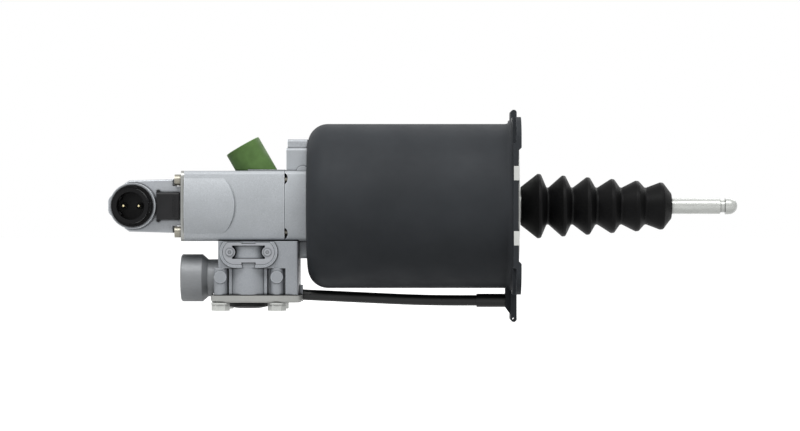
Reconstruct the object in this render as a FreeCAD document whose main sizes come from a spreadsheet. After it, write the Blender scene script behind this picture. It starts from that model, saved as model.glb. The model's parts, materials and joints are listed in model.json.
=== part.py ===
"""Clutch servo: air and hydraulic actuator with a push rod, a control valve and a travel sensor.

The rod's axis is X. The origin is on that axis, in the plane of the flange's pads, and +Z is up.
All lengths are millimetres.
"""

import FreeCAD
import Part
import Sketcher
import math
import os
from FreeCAD import Placement, Rotation, Vector

# Flange and housing
SIZES = {
    "pad_height": 1.9,
    "flange_thickness": 3.0,
    "flange_half": 55.0,
    "flange_corner": 14.0,
    "pad_inner": 34.0,
    "pad_slope": 1.7,
    "bolt_half": 44.0,
    "bolt_hole_radius": 5.5,
    "housing_length": 133.0,
    "housing_radius": 52.0,
    "housing_wall": 2.0,
    "back_thickness": 3.0,
    "back_corner": 12.7,
    "mouth_bend": 3.5,
    "ear_front": 1.2,
    "ear_half_width": 12.0,
    "top_ear_reach": 60.6,
    "bottom_ear_reach": 73.0,
    "ear_curl_radius": 1.0,
    "pocket_depth": 8.0,
    "pocket_half_width": 8.0,
    "pocket_shoulder": 64.2,
    "pocket_foot": 68.4,
    "vent_radius": 1.0,
    # End cover and guide of the rod
    "cover_thickness": 1.0,
    "neck_length": 7.2,
    "neck_radius": 9.6,
    "bead_radius": 33.0,
    "bead_half_width": 5.0,
    "bead_depth": 0.4,
    "tab_place": 20.0,
    "tab_half_width": 4.4,
    "tab_thickness": 0.7,
    "tab_depth": 2.0,
    "tab_hook": 2.8,
    "bush_radius": 7.0,
    "bush_rim": 9.0,
    "bush_rim_length": 1.0,
    # Push rod
    "rod_radius": 5.0,
    "rod_groove_start": 128.0,
    "rod_groove_length": 3.4,
    "rod_groove_radius": 4.1,
    "rod_collar_radius": 5.3,
    "rod_collar_length": 2.5,
    "rod_ball_radius": 5.2,
    "rod_seat_depth": 23.5,
    # Boot
    "boot_start": 1.8,
    "boot_start_radius": 12.1,
    "boot_first_crest": 11.7,
    "boot_pitch": 15.5,
    "boot_crest_radius": 20.5,
    "boot_crest_step": 1.1,
    "boot_valley_after_crest": 5.5,
    "boot_valley_radius": 11.7,
    "boot_wall": 1.8,
    "boot_slope_length": 5.4,
    "boot_end_radius": 9.0,
    "boot_lip": 0.7,
    "boot_grip_length": 4.6,
    "boot_crest_round": 1.3,
    "boot_valley_round": 1.0,
    # Pistons inside the housing
    "piston_gap": 0.3,
    "piston_front": 8.0,
    "piston_width": 18.0,
    "piston_web": 6.0,
    "piston_hub_radius": 13.0,
    "piston_rim_wall": 5.0,
    "piston_seal_width": 5.0,
    "piston_seal_depth": 3.6,
    "piston_ring_width": 4.0,
    "piston_ring_depth": 1.8,
    "piston_stop_radius": 38.0,
    "piston_stop_width": 4.0,
    "spigot_radius": 8.0,
    "spigot_front": 4.0,
    "nut_thickness": 6.0,
    "nut_across": 24.0,
    "plunger_radius": 11.0,
    "plunger_end": 146.5,
    "plunger_bore_radius": 4.5,
    "plunger_bore_depth": 63.0,
    "magnet_radius": 8.0,
    "magnet_length": 5.5,
    "spring_radius": 16.5,
    "spring_wire_radius": 1.8,
    "spring_turns": 8.0,
    # Adapter casting on the back of the housing
    "adapter_length": 14.2,
    "section_half_height": 22.1,
    "section_half_depth": 19.5,
    "section_side_radius": 90.0,
    "section_corner": 3.0,
    "top_lobe_reach": 42.1,
    "top_lobe_step": 36.5,
    "top_lobe_half_width": 13.0,
    "top_lobe_length": 13.2,
    "top_lobe_draft": 0.7,
    "bottom_lobe_reach": 33.0,
    "bottom_lobe_length": 5.0,
    "small_boss_radius": 3.7,
    "small_boss_place": 2.9,
    "small_boss_height": 21.4,
    "small_boss_front": 18.0,
    "far_lobe_reach": 38.0,
    "far_lobe_half_height": 11.0,
    "lobe_round": 2.0,
    "adapter_spigot_radius": 20.0,
    "adapter_spigot_length": 4.0,
    "adapter_bore_radius": 12.0,
    "seal_radius": 14.0,
    "seal_length": 4.0,
    "seal_place": 142.0,
    "plunger_bush_radius": 13.0,
    "plunger_bush_length": 6.5,
    "ring_section_radius": 0.9,
    "back_screw_top": 33.0,
    "back_screw_bottom": 28.0,
    "back_screw_far": 32.0,
    "back_screw_radius": 3.0,
    "back_screw_depth": 4.5,
    "back_screw_head_radius": 5.0,
    "back_screw_head": 6.0,
    "notch_length": 2.2,
    "notch_radius": 4.5,
    "notch_place": 17.2,
    "notch_depth": 10.0,
    "seam_width": 0.4,
    "seam_depth": 0.7,
    "delivery_radius": 2.0,
    "delivery_place": 16.8,
    "delivery_setback": 5.0,
    # Hydraulic body
    "body_length": 62.8,
    "body_bore_radius": 12.0,
    "raised_length": 23.0,
    "raised_height": 0.8,
    "raised_half_width": 15.0,
    "bulge_crest": 23.8,
    "bulge_root": 19.0,
    "bulge_radius": 48.0,
    "bulge_reach": 11.8,
    "bulge_end_radius": 19.6,
    "bulge_draft": 3.0,
    "long_screw_place": 16.3,
    "long_screw_radius": 2.0,
    "long_screw_head_radius": 3.5,
    "long_screw_head": 4.0,
    "long_screw_socket": 1.7,
    "long_screw_engagement": 10.0,
    "port_place": 152.6,
    "port_tilt": 30.0,
    "port_radius": 5.25,
    "port_seat": 20.6,
    "port_seat_radius": 8.0,
    "plug_radius": 11.65,
    "plug_length": 23.3,
    "plug_stem_length": 4.0,
    "plug_edge": 0.4,
    "bleed_place": 199.0,
    "bleed_height": 6.0,
    "bleed_boss_radius": 7.0,
    "bleed_boss_reach": 28.0,
    "bleed_screw_radius": 3.0,
    "bleed_across": 9.0,
    "bleed_hex": 4.0,
    "bleed_nipple_radius": 2.8,
    "bleed_nipple_length": 8.0,
    "bleed_channel_radius": 1.2,
    "bleed_cap_wall": 1.1,
    # Travel sensor
    "sensor_plate_thickness": 2.1,
    "sensor_plate_half_depth": 20.5,
    "sensor_plate_corner": 4.0,
    "sensor_neck_radius": 12.5,
    "sensor_flange_radius": 15.0,
    "sensor_flange_length": 2.0,
    "sensor_neck_length": 5.0,
    "arm_half_depth": 14.0,
    "arm_root_half": 16.9,
    "arm_tip_half": 16.1,
    "arm_tip_place": 245.0,
    "arm_shoulder": 3.0,
    "arm_shoulder_half": 14.1,
    "arm_corner": 1.0,
    "arm_root_gap": 0.4,
    "probe_radius": 3.2,
    "probe_length": 64.0,
    "probe_seat": 6.0,
    "connector_place": 242.0,
    "connector_ring_radius": 14.4,
    "connector_ring_wall": 1.3,
    "connector_ring_front": 25.0,
    "connector_ring_depth": 12.0,
    "collar_front": 26.5,
    "tube_front": 37.0,
    "tube_radius": 11.1,
    "tube_wall": 2.4,
    "cavity_depth": 13.0,
    "ramp_half_width": 2.2,
    "ramp_height": 0.9,
    "ramp_length": 3.0,
    "pin_radius": 0.8,
    "pin_spacing": 4.8,
    "pin_length": 9.0,
    "pin_root": 5.0,
    "lug_reach": 15.0,
    "lug_half_height": 7.0,
    "lug_length": 12.0,
    "lug_corner": 4.5,
    "clip_start": 227.4,
    "clip_end": 213.4,
    "clip_half_height": 8.6,
    "clip_front": 20.0,
    "clip_edge": 1.5,
    "clip_ear": 1.6,
    "clip_ear_half_height": 9.9,
    # Control valve
    "valve_axis": 169.9,
    "valve_left": 188.5,
    "valve_right": 138.4,
    "valve_floor": 55.5,
    "valve_half_depth": 24.0,
    "recess_top": 38.9,
    "recess_right": 146.2,
    "recess_half_depth": 17.0,
    "column_left": 187.1,
    "column_right": 151.8,
    "column_place": 20.0,
    "column_radius": 4.3,
    "disc_height": 44.5,
    "disc_radius": 3.8,
    "disc_proud": 0.5,
    "barrel_radius": 14.0,
    "barrel_crest": 25.0,
    "rib_spread": 11.0,
    "rib_half_width": 0.8,
    "rib_reach": 21.0,
    "valve_round": 1.2,
    "oval_axis": 169.3,
    "oval_height": 28.9,
    "oval_half_straight": 8.4,
    "oval_radius": 9.6,
    "oval_floor": 25.1,
    "oval_rim": 1.6,
    "oval_front": 27.0,
    "oval_top_gap": 0.4,
    "oval_slot_half_width": 4.45,
    "oval_slot_depth": 0.8,
    "plate_thickness": 1.6,
    "plate_gap": 0.3,
    "window_half_length": 10.3,
    "window_half_height": 4.2,
    "window_depth": 6.0,
    "notch_half_width": 4.2,
    "notch_top": 35.3,
    "plate_screw_place": 11.8,
    "plate_boss_radius": 3.4,
    "plate_screw_radius": 1.25,
    "plate_screw_head_radius": 2.2,
    "plate_screw_head": 1.0,
    "plate_screw_length": 7.0,
    "lug_block_start": 141.0,
    "lug_block_end": 136.2,
    "lug_block_half": 5.0,
    "lug_block_top": 50.0,
    "lug_block_floor": 60.2,
    "control_bore_radius": 8.0,
    "control_bore_top": 25.5,
    "control_bore_floor": 41.0,
    "control_channel_radius": 1.5,
    "stem_hole_radius": 4.0,
    "chamber_radius": 9.5,
    "chamber_top": 44.0,
    "control_piston_top": 28.0,
    "control_piston_length": 6.0,
    "control_stem_radius": 2.5,
    "control_stem_tip": 43.0,
    "control_seal_depth": 1.2,
    "control_seal_width": 2.0,
    "small_wire_radius": 0.45,
    "control_spring_radius": 5.6,
    "control_spring_turns": 3.0,
    "inlet_disc_radius": 6.5,
    "inlet_disc_thickness": 1.2,
    "inlet_pad_thickness": 1.0,
    "inlet_pad_gap": 0.1,
    "inlet_stem_radius": 3.0,
    "inlet_stem_bore": 1.6,
    "inlet_stem_end": 54.0,
    "inlet_spring_radius": 4.8,
    "inlet_spring_turns": 3.0,
    "retainer_thickness": 3.0,
    "valve_screw_left": 184.0,
    "valve_screw_right": 152.0,
    "valve_screw_place": 10.5,
    "valve_screw_radius": 2.0,
    "valve_screw_head_radius": 3.5,
    "valve_screw_head": 4.0,
    "valve_screw_seat": 30.0,
    "valve_screw_top": 14.5,
    # Base of the valve
    "gasket_thickness": 0.6,
    "base_left": 193.2,
    "base_right": 136.0,
    "base_thickness": 4.4,
    "base_half_depth": 26.0,
    "base_corner": 6.0,
    "base_edge": 1.8,
    "gasket_inset": 1.5,
    "exhaust_radius": 4.0,
    "washer_radius": 6.0,
    "washer_thickness": 1.2,
    "base_bolt_radius": 3.0,
    "base_bolt_across": 10.0,
    "base_bolt_head": 4.0,
    "base_bolt_length": 17.0,
    "breather_axis": 170.7,
    "breather_radius": 13.4,
    "breather_lift": 0.9,
    "breather_thickness": 3.1,
    "breather_dome": 1.2,
    "breather_neck_radius": 6.0,
    "breather_plug_length": 3.5,
    # Air inlet
    "inlet_height": 45.5,
    "inlet_radius": 15.0,
    "inlet_front": 213.0,
    "inlet_shoulder": 199.6,
    "inlet_taper_end": 196.0,
    "inlet_neck_radius": 11.8,
    "inlet_neck_flat": 9.7,
    "inlet_bore_radius": 10.25,
    "inlet_bore_depth": 14.0,
    "inlet_edge": 0.8,
    "inlet_spigot_radius": 6.0,
    "inlet_spigot_length": 4.0,
    "inlet_channel_radius": 4.0,
    # Breather pipe
    "pipe_radius": 3.4,
    "pipe_height": 56.0,
    "pipe_end_height": 59.8,
    "pipe_seat": 3.5,
    "pipe_bend_start": 80.0,
    "pipe_bend_radius": 900.0,
    "pipe_insertion": 1.0,
    "sleeve_start": 26.2,
    "sleeve_radius": 4.25,
    "sleeve_insertion": 2.2,
    # Clearances
    "fit_gap": 0.05,
}

HEX_CORNER = 1 / math.sqrt(3)
COS_TILT = math.cos(math.radians(SIZES["port_tilt"]))
BOOT_FOLDS = 6
TOLERANCE = 0.01


class Size:
    """A length: its number now, and the expression that the document keeps for it."""

    def __init__(self, number, text):
        self.number = number
        self.text = text

    def __add__(self, other):
        other = as_size(other)
        return Size(self.number + other.number, f"({self.text} + {other.text})")

    def __radd__(self, other):
        return as_size(other) + self

    def __sub__(self, other):
        other = as_size(other)
        return Size(self.number - other.number, f"({self.text} - {other.text})")

    def __rsub__(self, other):
        return as_size(other) - self

    def __mul__(self, other):
        other = as_size(other)
        return Size(self.number * other.number, f"({self.text} * {other.text})")

    def __rmul__(self, other):
        return as_size(other) * self

    def __truediv__(self, other):
        other = as_size(other)
        return Size(self.number / other.number, f"({self.text} / {other.text})")

    def __neg__(self):
        return Size(-self.number, f"(0 - {self.text})")


def as_size(value):
    if isinstance(value, Size):
        return value
    return Size(float(value), repr(float(value)))


class Sheet:
    """The driving dimensions, read as sizes."""

    def __init__(self, table):
        self.sheet = doc.addObject("Spreadsheet::Sheet", "Sizes")
        for row, (alias, number) in enumerate(table.items(), start=1):
            self.sheet.set(f"A{row}", alias)
            self.sheet.set(f"B{row}", str(number))
            self.sheet.setAlias(f"B{row}", alias)
            setattr(self, alias, Size(number, f"Sizes.{alias}"))


AXIS_TURN = {
    "X": Rotation(Vector(0, 1, 0), 90),
    "Y": Rotation(Vector(1, 0, 0), -90),
    "Z": Rotation(),
}
PLANE_OF = {"X": "YZ_Plane", "Y": "XZ_Plane", "Z": "XY_Plane"}


def bind(thing, name, value):
    """Give a property of an object its number and its expression."""
    value = as_size(value)
    thing.setExpression(name, value.text)


def bind_place(thing, corner):
    for letter, value in zip("xyz", corner):
        bind(thing, f"Placement.Base.{letter}", value)


class Piece:
    """One sub-part made as a PartDesign body."""

    def __init__(self, name):
        self.name = name
        self.body = doc.addObject("PartDesign::Body", name)
        self.body.Label = name
        self.count = 0

    def feature(self, kind, word):
        self.count += 1
        return self.body.newObject(f"PartDesign::{kind}", f"{self.name}_{word}_{self.count}")

    def new_sketch(self, plane, offset=0):
        self.count += 1
        sketch = self.body.newObject("Sketcher::SketchObject", f"{self.name}_sketch_{self.count}")
        origin = [item for item in self.body.Origin.OriginFeatures if item.Role == plane][0]
        sketch.AttachmentSupport = (origin, [""])
        sketch.MapMode = "FlatFace"
        bind(sketch, "AttachmentOffset.Base.z", offset)
        return sketch

    def outline(self, plane, points, offset=0):
        """Closed sketch through the points; a third value is the radius of the arc that follows."""
        sketch = self.new_sketch(plane, offset)
        corners = [[as_size(value) for value in point] for point in points]
        ends = []
        for here, there in zip(corners, corners[1:] + corners[:1]):
            ends.append(add_edge(sketch, here, there))
        for index, (_, last) in enumerate(ends):
            following = (index + 1) % len(ends)
            first = ends[following][0]
            sketch.addConstraint(Sketcher.Constraint("Coincident", index, last, following, first))
        for index, corner in enumerate(corners):
            hold_point(sketch, index, ends[index][0], corner)
            if len(corner) > 2:
                radius = -corner[2] if corner[2].number < 0 else corner[2]
                item = sketch.addConstraint(Sketcher.Constraint("Radius", index, radius.number))
                bind(sketch, f"Constraints[{item}]", radius)
        return sketch

    def circle(self, plane, centre, radius):
        sketch = self.new_sketch(plane)
        across, up = [as_size(value) for value in centre]
        middle = Vector(across.number, up.number, 0)
        sketch.addGeometry(Part.Circle(middle, Vector(0, 0, 1), radius.number), False)
        hold_point(sketch, 0, 3, (across, up))
        item = sketch.addConstraint(Sketcher.Constraint("Radius", 0, radius.number))
        bind(sketch, f"Constraints[{item}]", radius)
        return sketch

    def turn(self, points, axis="H_Axis", cut=False):
        """Turned about X (H_Axis) or Z (V_Axis); the points are in the XZ plane."""
        sketch = self.outline("XZ_Plane", points)
        feature = self.feature("Groove" if cut else "Revolution", "turned")
        feature.Profile = sketch
        feature.ReferenceAxis = (sketch, [axis])
        return feature

    def extrude(self, axis, points, low, high, cut=False):
        """Outline swept along an axis from low to high."""
        low, high = as_size(low), as_size(high)
        start = -high if axis == "Y" else low
        sketch = self.outline(PLANE_OF[axis], points, start)
        feature = self.feature("Pocket" if cut else "Pad", "swept")
        feature.Profile = sketch
        feature.Reversed = cut
        bind(feature, "Length", high - low)
        return feature

    def block(self, low, high, cut=False):
        feature = self.feature("SubtractiveBox" if cut else "AdditiveBox", "block")
        for name, first, last in zip(("Length", "Width", "Height"), low, high):
            bind(feature, name, as_size(last) - as_size(first))
        bind_place(feature, low)
        return feature

    def rod(self, axis, centre, low, high, radius, cut=False):
        """Cylinder along an axis; centre holds its two other coordinates."""
        feature = self.feature("SubtractiveCylinder" if cut else "AdditiveCylinder", "round")
        feature.Placement = Placement(Vector(), AXIS_TURN[axis])
        bind(feature, "Radius", radius)
        bind(feature, "Height", as_size(high) - as_size(low))
        bind_place(feature, with_axis(axis, centre, low))
        return feature

    def bore(self, axis, centre, low, high, radius):
        return self.rod(axis, centre, low, high, radius, cut=True)

    def hexagon(self, axis, centre, low, high, across, cut=False):
        feature = self.feature("SubtractivePrism" if cut else "AdditivePrism", "hexagon")
        feature.Placement = Placement(Vector(), AXIS_TURN[axis])
        feature.Polygon = 6
        bind(feature, "Circumradius", across * HEX_CORNER)
        bind(feature, "Height", as_size(high) - as_size(low))
        bind_place(feature, with_axis(axis, centre, low))
        return feature

    def coil(self, plane, centre, wire, axis, pitch, height):
        """Round wire wound about a sketch axis."""
        sketch = self.circle(plane, centre, wire)
        feature = self.feature("AdditiveHelix", "coil")
        feature.Profile = sketch
        feature.ReferenceAxis = (sketch, [axis])
        feature.Mode = 0
        bind(feature, "Pitch", pitch)
        bind(feature, "Height", height)
        return feature

    def edge_feature(self, kind, name, size, pick):
        doc.recompute()
        base = self.body.Tip
        edges = enumerate(base.Shape.Edges, start=1)
        chosen = [f"Edge{number}" for number, edge in edges if pick(edge)]
        if not chosen:
            raise RuntimeError(f"{self.name}: no edge to {kind.lower()}")
        feature = self.feature(kind, "edge")
        feature.Base = (base, chosen)
        bind(feature, name, size)
        return feature

    def round(self, radius, pick):
        return self.edge_feature("Fillet", "Radius", radius, pick)

    def chamfer(self, size, pick):
        return self.edge_feature("Chamfer", "Size", size, pick)


def with_axis(axis, centre, along):
    """Three coordinates from the two across an axis and the one along it."""
    place = list(centre)
    place.insert("XYZ".index(axis), along)
    return place


def add_edge(sketch, here, there):
    """Line or arc between two corners; gives the point numbers of its first and last end."""
    start = Vector(here[0].number, here[1].number, 0)
    stop = Vector(there[0].number, there[1].number, 0)
    if len(here) < 3:
        sketch.addGeometry(Part.LineSegment(start, stop), False)
        return 1, 2
    radius = abs(here[2].number)
    chord = stop - start
    left = Vector(-chord.y, chord.x, 0).normalize()
    sagging = math.sqrt(max(radius ** 2 - (chord.Length / 2) ** 2, 0))
    side = 1 if here[2].number > 0 else -1
    centre = (start + stop) * 0.5 + left * sagging * side
    first, last = (start, stop) if side > 0 else (stop, start)
    angles = [math.atan2(end.y - centre.y, end.x - centre.x) for end in (first, last)]
    if angles[1] < angles[0]:
        angles[1] += 2 * math.pi
    circle = Part.Circle(centre, Vector(0, 0, 1), radius)
    sketch.addGeometry(Part.ArcOfCircle(circle, angles[0], angles[1]), False)
    return (1, 2) if side > 0 else (2, 1)


def hold_point(sketch, item, end, place):
    """Fix one point of a sketch by its two distances from the origin."""
    for kind, axis, value in (("DistanceX", -2, place[0]), ("DistanceY", -1, place[1])):
        if value.text == "0.0":
            sketch.addConstraint(Sketcher.Constraint("PointOnObject", item, end, axis))
            continue
        number = sketch.addConstraint(Sketcher.Constraint(kind, -1, 1, item, end, value.number))
        bind(sketch, f"Constraints[{number}]", value)


def group(name, pieces):
    """Like pieces kept together as one node of separate solids."""
    compound = doc.addObject("Part::Compound", name)
    compound.Label = name
    compound.Links = [piece.body for piece in pieces]
    return compound


def near(value, size):
    return abs(value - as_size(size).number) < TOLERANCE


def ring_at(axis, place, radius):
    """Picks the round edges about a main axis at one place along it and of one radius."""
    def pick(edge):
        curve = edge.Curve
        if not isinstance(curve, Part.Circle):
            return False
        along = getattr(curve.Center, axis.lower())
        return near(along, place) and near(curve.Radius, radius)
    return pick


def along_axis(axis, others):
    """Picks straight edges along an axis whose two other coordinates have the given sizes."""
    letters = [letter for letter in "xyz" if letter != axis.lower()]
    def pick(edge):
        if not isinstance(edge.Curve, Part.Line):
            return False
        direction = getattr(edge.Vertexes[0].Point - edge.Vertexes[-1].Point, axis.lower())
        if abs(abs(direction) - edge.Length) > TOLERANCE:
            return False
        middle = edge.CenterOfMass
        return all(near(abs(getattr(middle, letter)), size) for letter, size in zip(letters, others))
    return pick


def in_plane(axis, place):
    """Picks the edges that lie in one plane across a main axis."""
    letter = axis.lower()
    def pick(edge):
        box = edge.BoundBox
        low, high = getattr(box, f"{letter.upper()}Min"), getattr(box, f"{letter.upper()}Max")
        return near(low, place) and near(high, place)
    return pick


doc = FreeCAD.newDocument("ClutchServo")
s = Sheet(SIZES)
doc.recompute()

# Places that many pieces share
flange_front = -s.pad_height
flange_back = flange_front - s.flange_thickness
housing_bore = s.housing_radius - s.housing_wall
housing_back = -s.housing_length
housing_floor = housing_back + s.back_thickness
cover_front = flange_front + s.cover_thickness
neck_front = cover_front + s.neck_length
adapter_left = housing_back - s.adapter_length
adapter_inner = housing_back + s.adapter_spigot_length
body_left = adapter_left - s.body_length
plate_left = body_left - s.sensor_plate_thickness
arm_right = plate_left - s.sensor_neck_length
valve_top = -s.section_half_height
base_top = -(s.valve_floor + s.gasket_thickness)
base_floor = base_top - s.base_thickness
CORNERS = [(across, up) for across in (-1, 1) for up in (-1, 1)]


def servo_housing():
    piece = Piece("servo_housing")
    piece.rod("X", (0, 0), housing_back, flange_front, s.housing_radius)
    half = s.flange_half
    piece.block((flange_back, -half, -half), (flange_front, half, half))
    piece.round(s.mouth_bend, ring_at("X", flange_back, s.housing_radius))
    piece.round(s.back_corner, ring_at("X", housing_back, s.housing_radius))
    for across, up in CORNERS:
        low = (flange_front, min_of(across, s.pad_inner, half), min_of(up, s.pad_inner, half))
        high = (0, max_of(across, s.pad_inner, half), max_of(up, s.pad_inner, half))
        piece.block(low, high)
    piece.round(s.flange_corner, along_axis("X", (half, half)))
    piece.chamfer(s.pad_slope, pad_end)
    add_ears(piece)
    piece.bore("X", (0, 0), flange_front, 1, s.housing_radius + s.plate_gap)
    inner_corner = s.back_corner - s.back_thickness
    piece.turn([
        (1, 0),
        (1, housing_bore),
        (housing_floor + inner_corner, housing_bore, inner_corner),
        (housing_floor, housing_bore - inner_corner),
        (housing_floor, 0),
    ], cut=True)
    hollow_pads(piece)
    piece.bore("X", (0, 0), housing_back - 1, housing_floor + 1, s.adapter_spigot_radius)
    for across, up in CORNERS:
        centre = (across * s.bolt_half, up * s.bolt_half)
        piece.bore("X", centre, flange_back - 1, 1, s.bolt_hole_radius)
    cut_tab_notches(piece)
    for centre in back_screw_centres():
        piece.bore("X", centre, housing_back - 1, housing_floor + 1, s.back_screw_radius + s.fit_gap)
    return piece.body


def min_of(sign, inner, outer):
    return inner if sign > 0 else -outer


def max_of(sign, inner, outer):
    return outer if sign > 0 else -inner


def pad_end(edge):
    """Edges of the pads' inner ends, in the mounting plane."""
    box = edge.BoundBox
    if not (near(box.XMin, 0) and near(box.XMax, 0)):
        return False
    middle = edge.CenterOfMass
    return near(abs(middle.y), s.pad_inner) or near(abs(middle.z), s.pad_inner)


def add_ears(piece):
    """Ear on top, and the bottom ear with the pressed pocket that takes the pipe's sleeve."""
    wide = s.ear_half_width
    front = -s.ear_front
    piece.block((flange_back, -wide, housing_bore), (front, wide, s.top_ear_reach))
    low = -s.bottom_ear_reach
    piece.block((flange_back, -wide, low), (front, wide, -housing_bore))
    pocket = [
        (-s.pocket_depth, -housing_bore),
        (-s.pocket_depth, -s.pocket_shoulder),
        (flange_back, -s.pocket_foot),
        (front, -s.pocket_foot),
        (front, -housing_bore),
    ]
    piece.extrude("Y", pocket, -s.pocket_half_width, s.pocket_half_width)
    tip_round = (s.flange_thickness + s.pad_height - s.ear_front) / 2 - s.fit_gap
    tip_reach = (s.top_ear_reach, s.bottom_ear_reach)
    def ear_tip(edge):
        box = edge.BoundBox
        flat = near(box.ZMin, box.ZMax) and near(box.XMin, box.XMax)
        return flat and any(near(abs(box.ZMin), reach) for reach in tip_reach)
    piece.round(tip_round, ear_tip)
    curl = ((flange_back + front) / 2, low + s.ear_curl_radius * 1.7)
    piece.bore("Y", curl, -wide - 1, wide + 1, s.ear_curl_radius)
    sleeve_end = -s.pocket_depth + s.sleeve_insertion + s.fit_gap
    pipe_place = (0, -s.pipe_end_height)
    piece.bore("X", pipe_place, -s.pocket_depth - 1, sleeve_end, s.sleeve_radius + s.fit_gap)
    vent = ((flange_back + flange_front) / 2, 0)
    piece.bore("X", pipe_place, sleeve_end - s.fit_gap, vent[0], s.pipe_radius)
    piece.bore("Z", vent, -s.pipe_end_height, -housing_bore + 1, s.vent_radius)


def hollow_pads(piece):
    """The pads are pressed out of the sheet, so their backs are hollow by the same height."""
    inner = s.bolt_half - s.bolt_hole_radius
    outer = s.flange_half
    for across, up in CORNERS:
        low = (flange_back - 1, min_of(across, inner, outer + 1), min_of(up, inner, outer + 1))
        high = (-s.flange_thickness, max_of(across, inner, outer + 1), max_of(up, inner, outer + 1))
        piece.block(low, high, cut=True)


def tab_places():
    """Outward axis, its sign and the place along the edge, for each tab of the cover."""
    for axis in ("Y", "Z"):
        for sign in (-1, 1):
            for place in (-s.tab_place, s.tab_place):
                yield axis, sign, place


def edge_block(axis, sign, place, half_width, inner, outer, low_x, high_x):
    """Corners of a block at the flange's edge, given how far out it reaches."""
    near_side = min_of(sign, inner, outer)
    far_side = max_of(sign, inner, outer)
    along = (place - half_width, place + half_width)
    if axis == "Y":
        return (low_x, near_side, along[0]), (high_x, far_side, along[1])
    return (low_x, along[0], near_side), (high_x, along[1], far_side)


def cut_tab_notches(piece):
    half_width = s.tab_half_width + s.plate_gap
    inner = s.flange_half - s.tab_depth - s.plate_gap
    for axis, sign, place in tab_places():
        low, high = edge_block(axis, sign, place, half_width, inner, s.flange_half + 1,
                               flange_back - 1, flange_front + s.fit_gap)
        piece.block(low, high, cut=True)


def end_cover():
    piece = Piece("end_cover")
    hole = s.bush_radius + s.fit_gap
    outer = s.housing_radius
    piece.turn([
        (flange_front, hole),
        (flange_front, outer),
        (cover_front, outer),
        (cover_front, s.neck_radius),
        (neck_front, s.neck_radius),
        (neck_front, hole),
    ])
    low = s.bead_radius - s.bead_half_width
    high = s.bead_radius + s.bead_half_width
    piece.turn([
        (cover_front - s.bead_depth, low),
        (cover_front - s.bead_depth, high),
        (cover_front + 1, high),
        (cover_front + 1, low),
    ], cut=True)
    for axis, sign, place in tab_places():
        strip = edge_block(axis, sign, place, s.tab_half_width, s.bolt_half, s.flange_half,
                           flange_front, flange_front + s.tab_thickness)
        piece.block(*strip)
        hook = edge_block(axis, sign, place, s.tab_half_width, s.flange_half - s.tab_depth,
                          s.flange_half, flange_front - s.tab_hook, flange_front + s.tab_thickness)
        piece.block(*hook)
    return piece.body


def rod_guide_bush():
    piece = Piece("rod_guide_bush")
    inner = s.rod_radius + s.fit_gap
    piece.turn([
        (flange_front, inner),
        (flange_front, s.bush_radius),
        (neck_front, s.bush_radius),
        (neck_front, s.bush_rim),
        (neck_front + s.bush_rim_length, s.bush_rim),
        (neck_front + s.bush_rim_length, inner),
    ])
    return piece.body


def boot_crest(index):
    return s.boot_start + s.boot_first_crest + s.boot_pitch * index


def boot_crest_radius(index):
    return s.boot_crest_radius - s.boot_crest_step * index


def boot_valley(index):
    return boot_crest(index) + s.boot_valley_after_crest


def boot():
    piece = Piece("boot")
    last = BOOT_FOLDS - 1
    slope_end = boot_crest(last) + s.boot_slope_length
    end = slope_end + s.boot_lip
    seat = s.neck_radius + s.fit_gap
    grip = s.rod_radius + s.fit_gap
    points = [(s.boot_start, seat), (s.boot_start, s.boot_start_radius)]
    for index in range(BOOT_FOLDS):
        points.append((boot_crest(index), boot_crest_radius(index)))
        if index < last:
            points.append((boot_valley(index), s.boot_valley_radius))
    points.append((slope_end, s.boot_end_radius))
    points.append((end, s.boot_end_radius))
    points.append((end, grip))
    points.append((end - s.boot_grip_length, grip))
    for index in reversed(range(BOOT_FOLDS)):
        if index < last:
            points.append((boot_valley(index), s.boot_valley_radius - s.boot_wall))
        points.append((boot_crest(index), boot_crest_radius(index) - s.boot_wall))
    points.append((neck_front + s.bush_rim_length / 2, seat))
    piece.turn(points)
    for index in range(BOOT_FOLDS):
        piece.round(s.boot_crest_round, ring_at("X", boot_crest(index), boot_crest_radius(index)))
    for index in range(last):
        piece.round(s.boot_valley_round, ring_at("X", boot_valley(index), s.boot_valley_radius))
    return piece.body


def push_rod():
    piece = Piece("push_rod")
    groove_end = s.rod_groove_start + s.rod_groove_length
    ball = groove_end + s.rod_collar_length
    seat = -s.spigot_front - s.rod_seat_depth
    piece.turn([
        (seat, 0),
        (seat, s.rod_radius),
        (s.rod_groove_start, s.rod_radius),
        (s.rod_groove_start, s.rod_groove_radius),
        (groove_end, s.rod_groove_radius),
        (groove_end, s.rod_collar_radius),
        (ball - s.rod_collar_length / 2, s.rod_collar_radius),
        (ball, s.rod_ball_radius, -s.rod_ball_radius),
        (ball + s.rod_ball_radius, 0),
    ])
    return piece.body


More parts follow.
